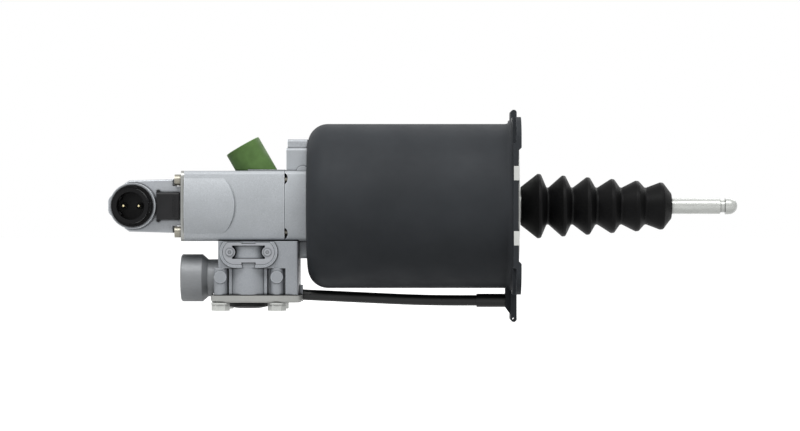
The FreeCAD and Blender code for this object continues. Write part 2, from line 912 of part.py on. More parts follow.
def air_piston():
    piece = Piece("air_piston")
    outer = housing_bore - s.fit_gap * 6
    front = -s.piston_front
    back = front - s.piston_width
    web_back = front - (s.piston_width + s.piston_web) / 2
    web_front = web_back + s.piston_web
    rim_inner = outer - s.piston_seal_depth - s.piston_rim_wall
    bore = s.spigot_radius + s.fit_gap
    hub_front = -s.spigot_front - s.nut_thickness
    piece.turn([
        (back, bore),
        (back, s.piston_hub_radius),
        (web_back, s.piston_hub_radius),
        (web_back, rim_inner),
        (back, rim_inner),
        (back, outer),
        (front, outer),
        (front, rim_inner),
        (web_front, rim_inner),
        (web_front, s.piston_hub_radius),
        (hub_front, s.piston_hub_radius),
        (hub_front, bore),
    ])
    stop_inner = s.piston_stop_radius - s.piston_stop_width
    piece.turn([
        (web_front - s.fit_gap, stop_inner),
        (web_front - s.fit_gap, s.piston_stop_radius),
        (flange_front - s.piston_gap, s.piston_stop_radius),
        (flange_front - s.piston_gap, stop_inner),
    ])
    for start, width, depth in piston_grooves():
        piece.turn([
            (start, outer - depth),
            (start, housing_bore),
            (start + width, housing_bore),
            (start + width, outer - depth),
        ], cut=True)
    return piece.body


def piston_grooves():
    """Start, width and depth of the seal's groove and of the guide ring's groove."""
    seal_start = -s.piston_front - s.piston_width + s.piston_rim_wall / 2
    ring_start = -s.piston_front - s.piston_rim_wall / 2 - s.piston_ring_width
    return (
        (seal_start, s.piston_seal_width, s.piston_seal_depth),
        (ring_start, s.piston_ring_width, s.piston_ring_depth),
    )


def groove_ring(name, groove):
    """Ring that fills a groove of the air piston and runs on the housing's bore."""
    start, width, depth = groove
    piece = Piece(name)
    floor = housing_bore - s.fit_gap * 6 - depth + s.fit_gap
    outer = housing_bore - s.fit_gap
    low, high = start + s.fit_gap, start + width - s.fit_gap
    piece.turn([(low, floor), (low, outer), (high, outer), (high, floor)])
    return piece.body


def rod_nut():
    piece = Piece("rod_nut")
    low = -s.spigot_front - s.nut_thickness
    piece.hexagon("X", (0, 0), low, -s.spigot_front, s.nut_across)
    piece.bore("X", (0, 0), low - 1, -s.spigot_front + 1, s.spigot_radius + s.fit_gap)
    return piece.body


def hydraulic_plunger():
    piece = Piece("hydraulic_plunger")
    shoulder = -s.piston_front - s.piston_width
    front = -s.spigot_front
    piece.rod("X", (0, 0), -s.plunger_end, shoulder, s.plunger_radius)
    piece.rod("X", (0, 0), shoulder - 1, front, s.spigot_radius)
    rod_hole = s.rod_radius + s.fit_gap
    piece.bore("X", (0, 0), front - s.rod_seat_depth - s.fit_gap, front + 1, rod_hole)
    deep = s.plunger_bore_depth - s.plunger_end
    piece.bore("X", (0, 0), -s.plunger_end - 1, deep, s.plunger_bore_radius)
    pocket = s.magnet_length + s.fit_gap - s.plunger_end
    piece.bore("X", (0, 0), -s.plunger_end - 1, pocket, s.magnet_radius + s.fit_gap)
    return piece.body


def travel_magnet():
    piece = Piece("travel_magnet")
    end = s.magnet_length - s.plunger_end
    piece.rod("X", (0, 0), -s.plunger_end, end, s.magnet_radius)
    piece.bore("X", (0, 0), -s.plunger_end - 1, end + 1, s.plunger_bore_radius)
    return piece.body


def preload_spring():
    piece = Piece("preload_spring")
    web_back = -s.piston_front - (s.piston_width + s.piston_web) / 2
    low = adapter_inner + s.spring_wire_radius + s.fit_gap
    height = web_back - s.spring_wire_radius - s.fit_gap - low
    piece.coil("XZ_Plane", (low, s.spring_radius), s.spring_wire_radius, "H_Axis",
               height / s.spring_turns, height)
    return piece.body


def section(inset=0):
    """Cross-section of the castings: flat top and bottom, sides slightly convex."""
    deep = s.section_half_depth - inset
    high = s.section_half_height - inset
    return [
        (-deep, high, s.section_side_radius),
        (-deep, -high),
        (deep, -high, s.section_side_radius),
        (deep, high),
    ]


def adapter_casting():
    piece = Piece("adapter_casting")
    seam = adapter_left + s.seam_width
    piece.extrude("X", section(), seam, housing_back)
    piece.round(s.section_corner, along_axis("X", (s.section_half_depth, s.section_half_height)))
    piece.extrude("X", section(s.seam_depth), adapter_left, seam)
    piece.round(s.section_corner, along_axis("X", (s.section_half_depth - s.seam_depth,
                                                   s.section_half_height - s.seam_depth)))
    wide = s.top_lobe_half_width
    lobe_left = housing_back - s.top_lobe_length
    piece.block((lobe_left, -wide, 0), (housing_back, wide, s.top_lobe_step))
    narrow = wide - s.lobe_round
    piece.block((lobe_left + s.top_lobe_draft, -narrow, 0),
                (housing_back, narrow, s.top_lobe_reach))
    boss = (housing_back - s.small_boss_place, s.small_boss_height)
    piece.rod("Y", boss, -s.small_boss_front, 0, s.small_boss_radius)
    piece.block((housing_back, -s.small_boss_front - 1, s.small_boss_height - s.small_boss_radius),
                (housing_back + s.small_boss_radius, 0, s.small_boss_height + s.small_boss_radius),
                cut=True)
    low_left = housing_back - s.bottom_lobe_length
    piece.block((low_left, -wide, -s.bottom_lobe_reach), (housing_back, wide, 0))
    high = s.far_lobe_half_height
    piece.block((low_left, 0, -high), (housing_back, s.far_lobe_reach, high))
    lobes = ((narrow, s.top_lobe_reach), (wide, s.top_lobe_step), (wide, s.bottom_lobe_reach))
    for corner in lobes:
        piece.round(s.lobe_round - s.fit_gap * 4, along_axis("X", corner))
    piece.rod("X", (0, 0), housing_back - 1, adapter_inner, s.adapter_spigot_radius - s.fit_gap)
    piece.bore("X", (0, 0), adapter_left - 1, adapter_inner + 1, s.adapter_bore_radius)
    seal_low = -s.seal_place
    piece.bore("X", (0, 0), seal_low, seal_low + s.seal_length, s.seal_radius + s.fit_gap)
    bush_low = adapter_inner - s.plunger_bush_length
    piece.bore("X", (0, 0), bush_low, adapter_inner + 1, s.plunger_bush_radius + s.fit_gap)
    seal_pocket = adapter_left + s.ring_section_radius + s.fit_gap
    piece.bore("X", (0, 0), adapter_left - 1, seal_pocket, joint_seal_radius() + s.fit_gap)
    cut_spigot_groove(piece)
    for centre in back_screw_centres():
        deep = housing_back - s.back_screw_depth - s.fit_gap
        piece.bore("X", centre, deep, housing_back + 1, s.back_screw_radius + s.fit_gap)
    cut_screw_notches(piece)
    cut_long_screw_holes(piece, adapter_left - 1, adapter_left + s.long_screw_engagement + s.fit_gap)
    place = s.delivery_place
    setback = adapter_left + s.delivery_setback
    piece.bore("Z", (setback, 0), valve_top - 1, -place, s.delivery_radius)
    piece.bore("X", (0, -place), setback, adapter_inner + 1, s.delivery_radius)
    return piece.body


def cut_spigot_groove(piece):
    low, high = spigot_groove()
    outer = s.adapter_spigot_radius
    floor = outer - s.ring_section_radius * 2
    piece.turn([(low, floor), (low, outer + 1), (high, outer + 1), (high, floor)], cut=True)


def spigot_groove():
    middle = housing_back + s.back_thickness / 2
    return middle - s.ring_section_radius, middle + s.ring_section_radius


def adapter_seal():
    piece = Piece("adapter_seal")
    low, high = spigot_groove()
    outer = s.adapter_spigot_radius - s.fit_gap
    floor = s.adapter_spigot_radius - s.ring_section_radius * 2 + s.fit_gap
    low, high = low + s.fit_gap, high - s.fit_gap
    piece.turn([(low, floor), (low, outer), (high, outer), (high, floor)])
    return piece.body


def back_screw_centres():
    return ((0, s.back_screw_top), (0, -s.back_screw_bottom), (s.back_screw_far, 0))


def back_screws():
    pieces = []
    for number, centre in enumerate(back_screw_centres(), start=1):
        piece = Piece(f"back_screw_{number}")
        head = housing_floor + s.back_screw_head
        piece.rod("X", centre, housing_back - s.back_screw_depth, housing_floor, s.back_screw_radius)
        piece.rod("X", centre, housing_floor, head, s.back_screw_head_radius)
        piece.hexagon("X", centre, head - s.back_screw_head / 2, head + 1,
                      s.back_screw_head_radius, cut=True)
        pieces.append(piece)
    return group("back_screws", pieces)


def cut_screw_notches(piece):
    """Openings in the near and far sides that show the long screws."""
    depth = s.section_half_depth + s.notch_depth
    for up in (-1, 1):
        centre = (adapter_left + s.notch_length - s.notch_radius, up * s.notch_place)
        for near_y, far_y in ((-depth, -s.notch_depth), (s.notch_depth, depth)):
            piece.bore("Y", centre, near_y, far_y, s.notch_radius)


def long_screw_centres():
    place = s.long_screw_place
    return [(across * place, up * place) for across, up in CORNERS]


def cut_long_screw_holes(piece, low, high):
    for centre in long_screw_centres():
        piece.bore("X", centre, low, high, s.long_screw_radius + s.fit_gap)


def plunger_seal():
    piece = Piece("plunger_seal")
    low = s.fit_gap - s.seal_place
    high = s.seal_length - s.fit_gap - s.seal_place
    piece.rod("X", (0, 0), low, high, s.seal_radius)
    piece.bore("X", (0, 0), low - 1, high + 1, s.plunger_radius + s.fit_gap)
    return piece.body


def plunger_bush():
    piece = Piece("plunger_bush")
    low = adapter_inner - s.plunger_bush_length
    piece.rod("X", (0, 0), low, adapter_inner, s.plunger_bush_radius)
    piece.bore("X", (0, 0), low - 1, adapter_inner + 1, s.plunger_radius + s.fit_gap)
    return piece.body


def bulge(name, side):
    """Convex front of the hydraulic body: its round end leaves a crescent step."""
    crest = s.bulge_crest
    round_side = doc.addObject("Part::Cylinder", f"{name}_round")
    round_side.Placement = Placement(Vector(), AXIS_TURN["X"])
    bind(round_side, "Radius", s.bulge_radius)
    bind(round_side, "Height", s.body_length)
    bind_place(round_side, (body_left, side * (crest - s.bulge_radius), 0))
    end = doc.addObject("Part::Cone", f"{name}_end")
    turn = Rotation(Vector(1, 0, 0), 90 if side < 0 else -90)
    end.Placement = Placement(Vector(), turn)
    bind(end, "Radius1", s.bulge_end_radius + s.bulge_draft)
    bind(end, "Radius2", s.bulge_end_radius)
    bind(end, "Height", crest - s.bulge_root)
    bind_place(end, (body_left + s.bulge_reach, side * s.bulge_root, 0))
    room = doc.addObject("Part::Box", f"{name}_room")
    bind(room, "Length", s.body_length)
    bind(room, "Width", crest - s.bulge_root)
    bind(room, "Height", s.section_half_height * 2)
    low = s.bulge_root if side > 0 else -crest
    bind_place(room, (body_left, low, -s.section_half_height))
    common = doc.addObject("Part::MultiCommon", name)
    common.Shapes = [round_side, end, room]
    return common


def hydraulic_body():
    piece = Piece("hydraulic_casting")
    half = s.section_half_depth
    top = s.section_half_height
    piece.extrude("X", section(), body_left, adapter_left)
    piece.round(s.section_corner, along_axis("X", (half, top)))
    wide = s.raised_half_width
    raised_top = top + s.raised_height
    piece.block((adapter_left - s.raised_length, -wide, 0), (adapter_left, wide, raised_top))
    boss = (-s.bleed_place, s.bleed_height)
    piece.rod("Y", boss, s.body_bore_radius + 1, s.bleed_boss_reach, s.bleed_boss_radius)
    piece.bore("X", (0, 0), body_left + s.sensor_flange_length, adapter_left + 1, s.body_bore_radius)
    flange_hole = s.sensor_flange_radius + s.fit_gap
    piece.bore("X", (0, 0), body_left - 1, body_left + s.sensor_flange_length, flange_hole)
    piece.bore("X", (0, 0), body_left, adapter_left, s.body_bore_radius)
    cut_long_screw_holes(piece, body_left - 1, adapter_left + 1)
    cut_hydraulic_port(piece)
    channel_floor = valve_top - 1
    piece.bore("Z", (-s.valve_axis, 0), channel_floor, -s.body_bore_radius / 2,
               s.control_channel_radius)
    for centre in valve_screw_centres():
        piece.bore("Z", centre, valve_top - 1, -s.valve_screw_top + s.fit_gap,
                   s.valve_screw_radius + s.fit_gap)
    piece.bore("Y", boss, s.body_bore_radius / 2, s.bleed_boss_reach, s.bleed_channel_radius)
    casting = doc.addObject("Part::MultiFuse", "hydraulic_solid")
    casting.Shapes = [piece.body, bulge("near_bulge", -1), bulge("far_bulge", 1)]
    drill = doc.addObject("Part::Cylinder", "bleed_drill")
    drill.Placement = Placement(Vector(), AXIS_TURN["Y"])
    bind(drill, "Radius", s.bleed_screw_radius + s.fit_gap)
    bind(drill, "Height", s.bleed_nipple_length + s.fit_gap + 1)
    bind_place(drill, with_axis("Y", boss, bleed_seat() - s.fit_gap))
    cylinder = doc.addObject("Part::Cut", "hydraulic_body")
    cylinder.Label = "hydraulic_body"
    cylinder.Base = casting
    cylinder.Tool = drill
    return cylinder


def bleed_seat():
    return s.bleed_boss_reach - s.bleed_nipple_length


def port_axis_place(along):
    """Point on the tilted axis of the hydraulic port."""
    along = as_size(along)
    x = Size(-s.port_place.number - along.number * math.sin(math.radians(s.port_tilt.number)),
             f"(0 - Sizes.port_place - {along.text} * sin(Sizes.port_tilt * 1deg))")
    z = Size(along.number * COS_TILT, f"({along.text} * cos(Sizes.port_tilt * 1deg))")
    return x, as_size(0), z


def tilted_round(piece, low, high, radius, cut=False):
    """Cylinder on the port's axis, between two distances from the main axis."""
    kind = "SubtractiveCylinder" if cut else "AdditiveCylinder"
    feature = piece.feature(kind, "tilted")
    feature.Placement = Placement(Vector(), Rotation(Vector(0, 1, 0), -s.port_tilt.number))
    bind(feature, "Radius", radius)
    bind(feature, "Height", as_size(high) - as_size(low))
    bind_place(feature, port_axis_place(low))
    feature.setExpression("Placement.Rotation.Angle", "0deg - Sizes.port_tilt * 1deg")
    return feature


def cut_hydraulic_port(piece):
    tilted_round(piece, s.body_bore_radius - 1, s.port_seat + 1, s.port_radius, cut=True)
    tilted_round(piece, s.port_seat, s.port_seat + s.plug_length, s.port_seat_radius, cut=True)


def transport_plug():
    """Cap whose foot is cut to the casting's stepped top, with a stem in the port."""
    piece = Piece("transport_plug")
    top = s.port_seat + s.plug_length
    tilted_round(piece, s.port_seat - s.plug_stem_length, top, s.plug_radius)
    piece.chamfer(s.plug_edge, lambda edge: isinstance(edge.Curve, Part.Circle))
    step = adapter_left - s.raised_length
    wide = s.plug_radius * 2
    deck = s.section_half_height
    piece.block((step - wide * 2, -wide, 0), (step, wide, deck), cut=True)
    piece.block((step - s.fit_gap, -wide, 0), (step + wide * 2, wide, deck + s.raised_height),
                cut=True)
    stem = s.port_radius - s.fit_gap
    tilted_round(piece, s.port_seat - s.plug_stem_length, s.port_seat + s.plug_stem_length, stem)
    return piece.body


def joint_seal_radius():
    return s.body_bore_radius + s.ring_section_radius * 3


def joint_seal():
    """Ring between the hydraulic body and the adapter, in a recess of the adapter's face."""
    piece = Piece("joint_seal")
    outer = joint_seal_radius()
    inner = outer - s.ring_section_radius * 2
    high = adapter_left + s.ring_section_radius
    piece.rod("X", (0, 0), adapter_left + s.fit_gap, high, outer)
    piece.bore("X", (0, 0), adapter_left - 1, high + 1, inner)
    return piece.body


def body_screws():
    pieces = []
    for number, centre in enumerate(long_screw_centres(), start=1):
        piece = Piece(f"body_screw_{number}")
        head = plate_left - s.long_screw_head
        piece.rod("X", centre, head, plate_left, s.long_screw_head_radius)
        piece.rod("X", centre, plate_left, adapter_left + s.long_screw_engagement,
                  s.long_screw_radius)
        piece.hexagon("X", centre, head - 1, head + s.long_screw_head / 2,
                      s.long_screw_socket * 2, cut=True)
        pieces.append(piece)
    return group("body_screws", pieces)


def bleed_screw():
    piece = Piece("bleed_screw")
    centre = (-s.bleed_place, s.bleed_height)
    reach = s.bleed_boss_reach
    piece.rod("Y", centre, bleed_seat(), reach, s.bleed_screw_radius)
    piece.hexagon("Y", centre, reach, reach + s.bleed_hex, s.bleed_across)
    piece.rod("Y", centre, reach, reach + s.bleed_hex + s.bleed_nipple_length,
              s.bleed_nipple_radius)
    return piece.body


def bleed_cap():
    piece = Piece("bleed_cap")
    centre = (-s.bleed_place, s.bleed_height)
    low = s.bleed_boss_reach + s.bleed_hex + s.fit_gap
    nipple_end = s.bleed_boss_reach + s.bleed_hex + s.bleed_nipple_length + s.fit_gap
    outer = s.bleed_nipple_radius + s.bleed_cap_wall
    piece.rod("Y", centre, low, nipple_end + s.bleed_cap_wall, outer)
    piece.round(s.bleed_cap_wall, ring_at("Y", nipple_end + s.bleed_cap_wall, outer))
    piece.bore("Y", centre, low - 1, nipple_end, s.bleed_nipple_radius + s.fit_gap)
    return piece.body


def sensor_plate():
    piece = Piece("sensor_plate")
    half = s.sensor_plate_half_depth
    high = s.section_half_height
    piece.block((plate_left, -half, -high), (body_left, half, high))
    piece.round(s.sensor_plate_corner, along_axis("X", (half, high)))
    piece.bore("X", (0, 0), plate_left - 1, body_left + 1, s.sensor_neck_radius + s.fit_gap)
    cut_long_screw_holes(piece, plate_left - 1, body_left + 1)
    return piece.body


def sensor_housing():
    """Cast arm that carries the connector; its neck passes through the plate."""
    piece = Piece("sensor_housing")
    tip = -s.arm_tip_place
    shoulder = tip - s.arm_shoulder
    piece.extrude("Y", [
        (arm_right, -s.arm_root_half),
        (arm_right, s.arm_root_half),
        (tip, s.arm_tip_half),
        (shoulder, s.arm_shoulder_half),
        (shoulder, -s.arm_shoulder_half),
        (tip, -s.arm_tip_half),
    ], -s.arm_half_depth, s.arm_half_depth)
    piece.round(s.arm_corner, in_plane("Y", -s.arm_half_depth))
    piece.round(s.arm_corner, in_plane("Y", s.arm_half_depth))
    centre = (-s.connector_place, 0)
    reach = s.lug_reach
    lug_front = s.connector_ring_depth - s.connector_ring_front
    lug_left = -s.connector_place - reach
    lug_high = s.lug_half_height
    piece.block((lug_left, lug_front - s.lug_length, -lug_high), (centre[0], lug_front, lug_high))
    piece.round(s.lug_corner, along_axis("Y", (s.connector_place + reach, lug_high)))
    piece.rod("Y", centre, -s.connector_ring_front, s.arm_half_depth, s.connector_ring_radius)
    ring_bore = s.connector_ring_radius - s.connector_ring_wall
    ring_floor = s.connector_ring_depth - s.connector_ring_front
    piece.bore("Y", centre, -s.connector_ring_front - 1, ring_floor, ring_bore)
    flange_right = body_left + s.sensor_flange_length
    root = s.long_screw_place - s.long_screw_head_radius - s.arm_root_gap
    piece.block((arm_right - 1, -s.arm_half_depth, -root), (plate_left, s.arm_half_depth, root))
    piece.rod("X", (0, 0), arm_right - 1, flange_right, s.sensor_neck_radius)
    piece.rod("X", (0, 0), body_left, flange_right, s.sensor_flange_radius)
    seat = flange_right - s.probe_seat
    piece.bore("X", (0, 0), seat, flange_right + 1, s.probe_radius + s.fit_gap)
    return piece.body


def sensor_probe():
    piece = Piece("sensor_probe")
    low = body_left + s.sensor_flange_length - s.probe_seat + s.fit_gap
    piece.rod("X", (0, 0), low, low + s.probe_length, s.probe_radius)
    piece.round(s.probe_radius / 2, ring_at("X", low + s.probe_length, s.probe_radius))
    return piece.body


def connector_socket():
    piece = Piece("connector_socket")
    centre = (-s.connector_place, 0)
    collar_radius = s.connector_ring_radius - s.connector_ring_wall - s.fit_gap
    floor = s.connector_ring_depth - s.connector_ring_front - s.fit_gap
    piece.rod("Y", centre, -s.collar_front, floor, collar_radius)
    piece.rod("Y", centre, -s.tube_front, floor, s.tube_radius)
    ramp_high = s.tube_radius + s.ramp_height
    ramp_front = -s.tube_front + s.ramp_length
    half = s.ramp_half_width
    middle = -s.connector_place
    piece.block((middle - ramp_high, ramp_front, -half),
                (middle + ramp_high, ramp_front + s.ramp_length, half))
    piece.block((middle - half, ramp_front, -ramp_high),
                (middle + half, ramp_front + s.ramp_length, ramp_high))
    piece.bore("Y", centre, -s.tube_front - 1, s.cavity_depth - s.tube_front,
               s.tube_radius - s.tube_wall)
    for side in (-1, 1):
        pin = (-s.connector_place + side * s.pin_spacing, 0)
        piece.bore("Y", pin, -s.tube_front, s.cavity_depth - s.tube_front + s.pin_root + s.fit_gap,
                   s.pin_radius + s.fit_gap)
    return piece.body


def connector_pins():
    pieces = []
    floor = s.cavity_depth - s.tube_front
    for number, side in enumerate((-1, 1), start=1):
        piece = Piece(f"connector_pin_{number}")
        centre = (-s.connector_place + side * s.pin_spacing, 0)
        tip = floor - s.pin_length
        piece.rod("Y", centre, tip, floor + s.pin_root, s.pin_radius)
        piece.round(s.pin_radius / 2, ring_at("Y", tip, s.pin_radius))
        pieces.append(piece)
    return group("connector_pins", pieces)


def connector_clip():
    piece = Piece("connector_clip")
    high = s.clip_half_height
    back = -s.arm_half_depth
    ring = -s.connector_place + s.connector_ring_radius
    piece.block((-s.clip_start, -s.clip_front, -high), (-s.clip_end, back, high))
    piece.round(s.clip_edge, along_axis("X", (s.clip_front, high)))
    ear = s.clip_ear_half_height
    piece.block((-s.clip_start, -s.clip_front + s.clip_edge, -ear),
                (-s.clip_start + s.clip_ear, back, ear))
    piece.bore("Y", (-s.connector_place, 0), -s.clip_front - 1, back + 1,
               s.connector_ring_radius + s.plate_gap)
    return piece.body


def valve_screw_centres():
    places = (-s.valve_screw_left, -s.valve_screw_right)
    return [(place, side * s.valve_screw_place) for place in places for side in (-1, 1)]


def column_centres():
    places = (-s.column_left, -s.column_right)
    return [(place, side * s.column_place) for place in places for side in (-1, 1)]


def stadium(piece, radius, low, high, cut=False):
    """Oval about the valve's front cover: two rounds and the block between them."""
    half = s.oval_half_straight
    height = -s.oval_height
    left, right = -s.oval_axis - half, -s.oval_axis + half
    for place in (left, right):
        piece.rod("Y", (place, height), low, high, radius, cut=cut)
    piece.block((left, low, height - radius), (right, high, height + radius), cut=cut)


def valve_body():
    piece = Piece("valve_body")
    deep = s.valve_half_depth
    left, right, floor = -s.valve_left, -s.valve_right, -s.valve_floor
    piece.block((left, -deep, floor), (right, deep, valve_top))
    piece.round(s.valve_round, along_axis("Z", (s.valve_left, deep)))
    piece.round(s.valve_round, along_axis("Z", (s.valve_right, deep)))
    for low, high in ((-deep - 1, -s.recess_half_depth), (s.recess_half_depth, deep + 1)):
        piece.block((left - 1, low, floor - 1), (-s.recess_right, high, -s.recess_top), cut=True)
    for x, y in column_centres():
        piece.rod("Z", (x, y), floor, -s.recess_top, s.column_radius)
    face = s.column_place + s.column_radius
    for x in (-s.column_left, -s.column_right):
        disc = (x, -s.disc_height)
        piece.rod("Y", disc, -face - s.disc_proud, -s.column_place, s.disc_radius)
        piece.rod("Y", disc, s.column_place, face + s.disc_proud, s.disc_radius)
        piece.block((x - s.rib_half_width, -s.column_place, floor),
                    (x + s.rib_half_width, s.column_place, -s.recess_top))
    for spread in (-s.rib_spread, s.rib_spread):
        x = spread - s.valve_axis
        piece.block((x - s.rib_half_width, -s.rib_reach, floor),
                    (x + s.rib_half_width, s.rib_reach, -s.recess_top))
    shape_oval_seat(piece)
    add_barrels(piece, floor)
    bore_cover_screws(piece)
    add_pipe_lug(piece)
    cut_valve_passages(piece)
    return piece.body


def shape_oval_seat(piece):
    """Raised oval rim and the floor that carries the cover, cut off under the hydraulic body."""
    stadium(piece, s.oval_radius, -s.oval_front, -s.valve_half_depth + 1)
    stadium(piece, s.oval_radius - s.oval_rim, -s.oval_front - 1, -s.oval_floor, cut=True)
    wide = s.oval_half_straight + s.oval_radius + 1
    axis = -s.oval_axis
    trim = valve_top - s.oval_top_gap
    piece.block((axis - wide, -s.oval_front - 1, trim), (axis + wide, -s.valve_half_depth, 0),
                cut=True)
    piece.block((axis - wide, -s.valve_half_depth - 1, valve_top), (axis + wide, 0, 0), cut=True)
    half = s.notch_half_width
    piece.block((axis - half, -s.oval_front - 1, -s.oval_height - s.oval_radius - 1),
                (axis + half, -s.oval_floor, -s.notch_top), cut=True)
    reach = s.window_half_length
    high = s.window_half_height
    piece.block((axis - reach, -s.oval_floor - 1, -s.oval_height - high),
                (axis + reach, -s.oval_floor + s.window_depth, -s.oval_height + high), cut=True)
    for side in (-1, 1):
        hole = (axis + side * s.plate_screw_place, -s.oval_height)
        piece.rod("Y", hole, -s.oval_floor, -s.oval_floor + s.window_depth, s.plate_boss_radius)


def bore_cover_screws(piece):
    for side in (-1, 1):
        hole = (side * s.plate_screw_place - s.oval_axis, -s.oval_height)
        end = -s.oval_front + s.plate_screw_length + s.fit_gap
        piece.bore("Y", hole, -s.oval_front, end, s.plate_screw_radius + s.fit_gap)


def add_barrels(piece, floor):
    """Upright half rounds in the middle of the front and the back, round the valve's bore."""
    centre = s.barrel_crest - s.barrel_radius
    window_top = -s.oval_height + s.window_half_height
    piece.rod("Z", (-s.valve_axis, -centre), floor, window_top, s.barrel_radius)
    piece.rod("Z", (-s.valve_axis, centre), floor, -s.recess_top, s.barrel_radius)


def add_pipe_lug(piece):
    half = s.lug_block_half
    piece.block((-s.lug_block_start, -half, -s.lug_block_floor),
                (-s.lug_block_end, half, -s.lug_block_top))


def cut_valve_passages(piece):
    axis = (-s.valve_axis, 0)
    floor = -s.valve_floor
    piece.bore("Z", axis, -s.control_bore_floor, -s.control_bore_top, s.control_bore_radius)
    piece.bore("Z", axis, -s.control_bore_top, valve_top + 1, s.control_channel_radius)
    piece.bore("Z", axis, -s.chamber_top, -s.control_bore_floor, s.stem_hole_radius)
    piece.bore("Z", axis, floor - 1, -s.chamber_top, s.chamber_radius)
    spigot = s.inlet_spigot_length + s.fit_gap - s.valve_left
    inlet = (0, -s.inlet_height)
    piece.bore("X", inlet, -s.valve_left - s.column_radius, spigot, s.inlet_spigot_radius + s.fit_gap)
    piece.bore("X", inlet, spigot, -s.valve_axis - s.chamber_radius / 2, s.inlet_channel_radius)
    upright = adapter_left + s.delivery_setback
    outlet = -s.chamber_top - s.stem_hole_radius
    piece.bore("X", (0, outlet), -s.valve_axis, upright, s.delivery_radius)
    piece.bore("Z", (upright, 0), outlet, valve_top + 1, s.delivery_radius)
    pipe_end = -s.lug_block_end - s.pipe_seat
    piece.bore("X", (0, -s.pipe_height), pipe_end - s.fit_gap, -s.lug_block_end + 1,
               s.pipe_radius + s.fit_gap * 4)
    vent = -s.pipe_height + s.pipe_radius - s.vent_radius / 2
    piece.bore("X", (0, vent), -s.valve_axis, pipe_end, s.vent_radius)
    for centre in valve_screw_centres():
        piece.bore("Z", centre, floor - 1, -s.valve_screw_seat, s.valve_screw_head_radius + s.fit_gap)
        piece.bore("Z", centre, -s.valve_screw_seat, valve_top + 1, s.valve_screw_radius + s.fit_gap)
    for centre in column_centres():
        depth = base_floor - s.washer_thickness + s.base_bolt_length + s.fit_gap
        piece.bore("Z", centre, floor - 1, depth, s.base_bolt_radius + s.fit_gap)


def oval_cover():
    """Stamped plate in the oval rim, with a window and a notch for the casting's barrel."""
    piece = Piece("oval_cover")
    radius = s.oval_radius - s.oval_rim - s.plate_gap
    back = -s.oval_floor
    front = back - s.plate_thickness
    stadium(piece, radius, front, back)
    axis = -s.oval_axis
    wide = s.oval_half_straight + s.oval_radius
    trim = valve_top - s.oval_top_gap * 2
    piece.block((axis - wide, front - 1, trim), (axis + wide, back + 1, 0), cut=True)
    slot = s.oval_slot_half_width
    piece.block((axis - slot, front - 1, trim - s.oval_slot_depth), (axis + slot, back + 1, trim + 1), cut=True)
    half = s.notch_half_width + s.plate_gap
    piece.block((axis - half, front - 1, -s.oval_height - s.oval_radius),
                (axis + half, back + 1, -s.notch_top), cut=True)
    reach = s.window_half_length
    high = s.window_half_height
    piece.block((axis - reach, front - 1, -s.oval_height - high),
                (axis + reach, back + 1, -s.oval_height + high), cut=True)
    for side in (-1, 1):
        centre = (axis + side * s.plate_screw_place, -s.oval_height)
        piece.rod("Y", centre, front, back, s.plate_boss_radius)
        piece.bore("Y", centre, front - 1, back + 1, s.plate_screw_radius + s.fit_gap)
    return piece.body


def oval_cover_screws():
    pieces = []
    front = -s.oval_floor - s.plate_thickness
    for number, side in enumerate((-1, 1), start=1):
        piece = Piece(f"oval_cover_screw_{number}")
        centre = (-s.oval_axis + side * s.plate_screw_place, -s.oval_height)
        piece.rod("Y", centre, front, -s.oval_front + s.plate_screw_length, s.plate_screw_radius)
        piece.rod("Y", centre, front - s.plate_screw_head, front, s.plate_screw_head_radius)
        head = front - s.plate_screw_head
        piece.hexagon("Y", centre, head - 1, head + s.plate_screw_head / 2,
                      s.plate_screw_head_radius, cut=True)
        pieces.append(piece)
    return group("oval_cover_screws", pieces)


def valve_screws():
    pieces = []
    for number, centre in enumerate(valve_screw_centres(), start=1):
        piece = Piece(f"valve_screw_{number}")
        seat = -s.valve_screw_seat
        piece.rod("Z", centre, seat, -s.valve_screw_top, s.valve_screw_radius)
        piece.rod("Z", centre, seat - s.valve_screw_head, seat, s.valve_screw_head_radius)
        head = seat - s.valve_screw_head
        piece.hexagon("Z", centre, head - 1, head + s.valve_screw_head / 2,
                      s.valve_screw_head_radius, cut=True)
        pieces.append(piece)
    return group("valve_screws", pieces)


def control_piston():
    piece = Piece("control_piston")
    top = -s.control_piston_top
    bottom = top - s.control_piston_length
    tip = -s.control_stem_tip
    axis = (-s.valve_axis, 0)
    piece.rod("Z", axis, bottom, top, s.control_bore_radius - s.fit_gap)
    piece.rod("Z", axis, tip, bottom + 1, s.control_stem_radius)
    for low in control_seal_places():
        outer = s.control_bore_radius
        ring_groove(piece, low, low + s.control_seal_width, outer - s.control_seal_depth, outer)
    return piece.body


def ring_groove(piece, low, high, inner, outer):
    """Groove round the valve's upright axis."""
    tool = piece.feature("SubtractiveCylinder", "groove")
    bind(tool, "Radius", outer)
    bind(tool, "Height", high - low)
    bind_place(tool, (-s.valve_axis, 0, low))
    piece.rod("Z", (-s.valve_axis, 0), low - s.fit_gap, high + s.fit_gap, inner)


def control_seal_places():
    """Lower faces of the two seal grooves of the control piston."""
    top = -s.control_piston_top
    step = s.control_piston_length / 2
    margin = (step - s.control_seal_width) / 2
    return (top - step + margin, top - s.control_piston_length + margin)


def control_piston_seals():
    pieces = []
    for number, low in enumerate(control_seal_places(), start=1):
        piece = Piece(f"control_piston_seal_{number}")
        bottom = low + s.fit_gap
        top = low + s.control_seal_width - s.fit_gap
        axis = (-s.valve_axis, 0)
        piece.rod("Z", axis, bottom, top, s.control_bore_radius - s.fit_gap)
        inner = s.control_bore_radius - s.control_seal_depth + s.fit_gap
        piece.bore("Z", axis, bottom - 1, top + 1, inner)
        pieces.append(piece)
    return group("control_piston_seals", pieces)


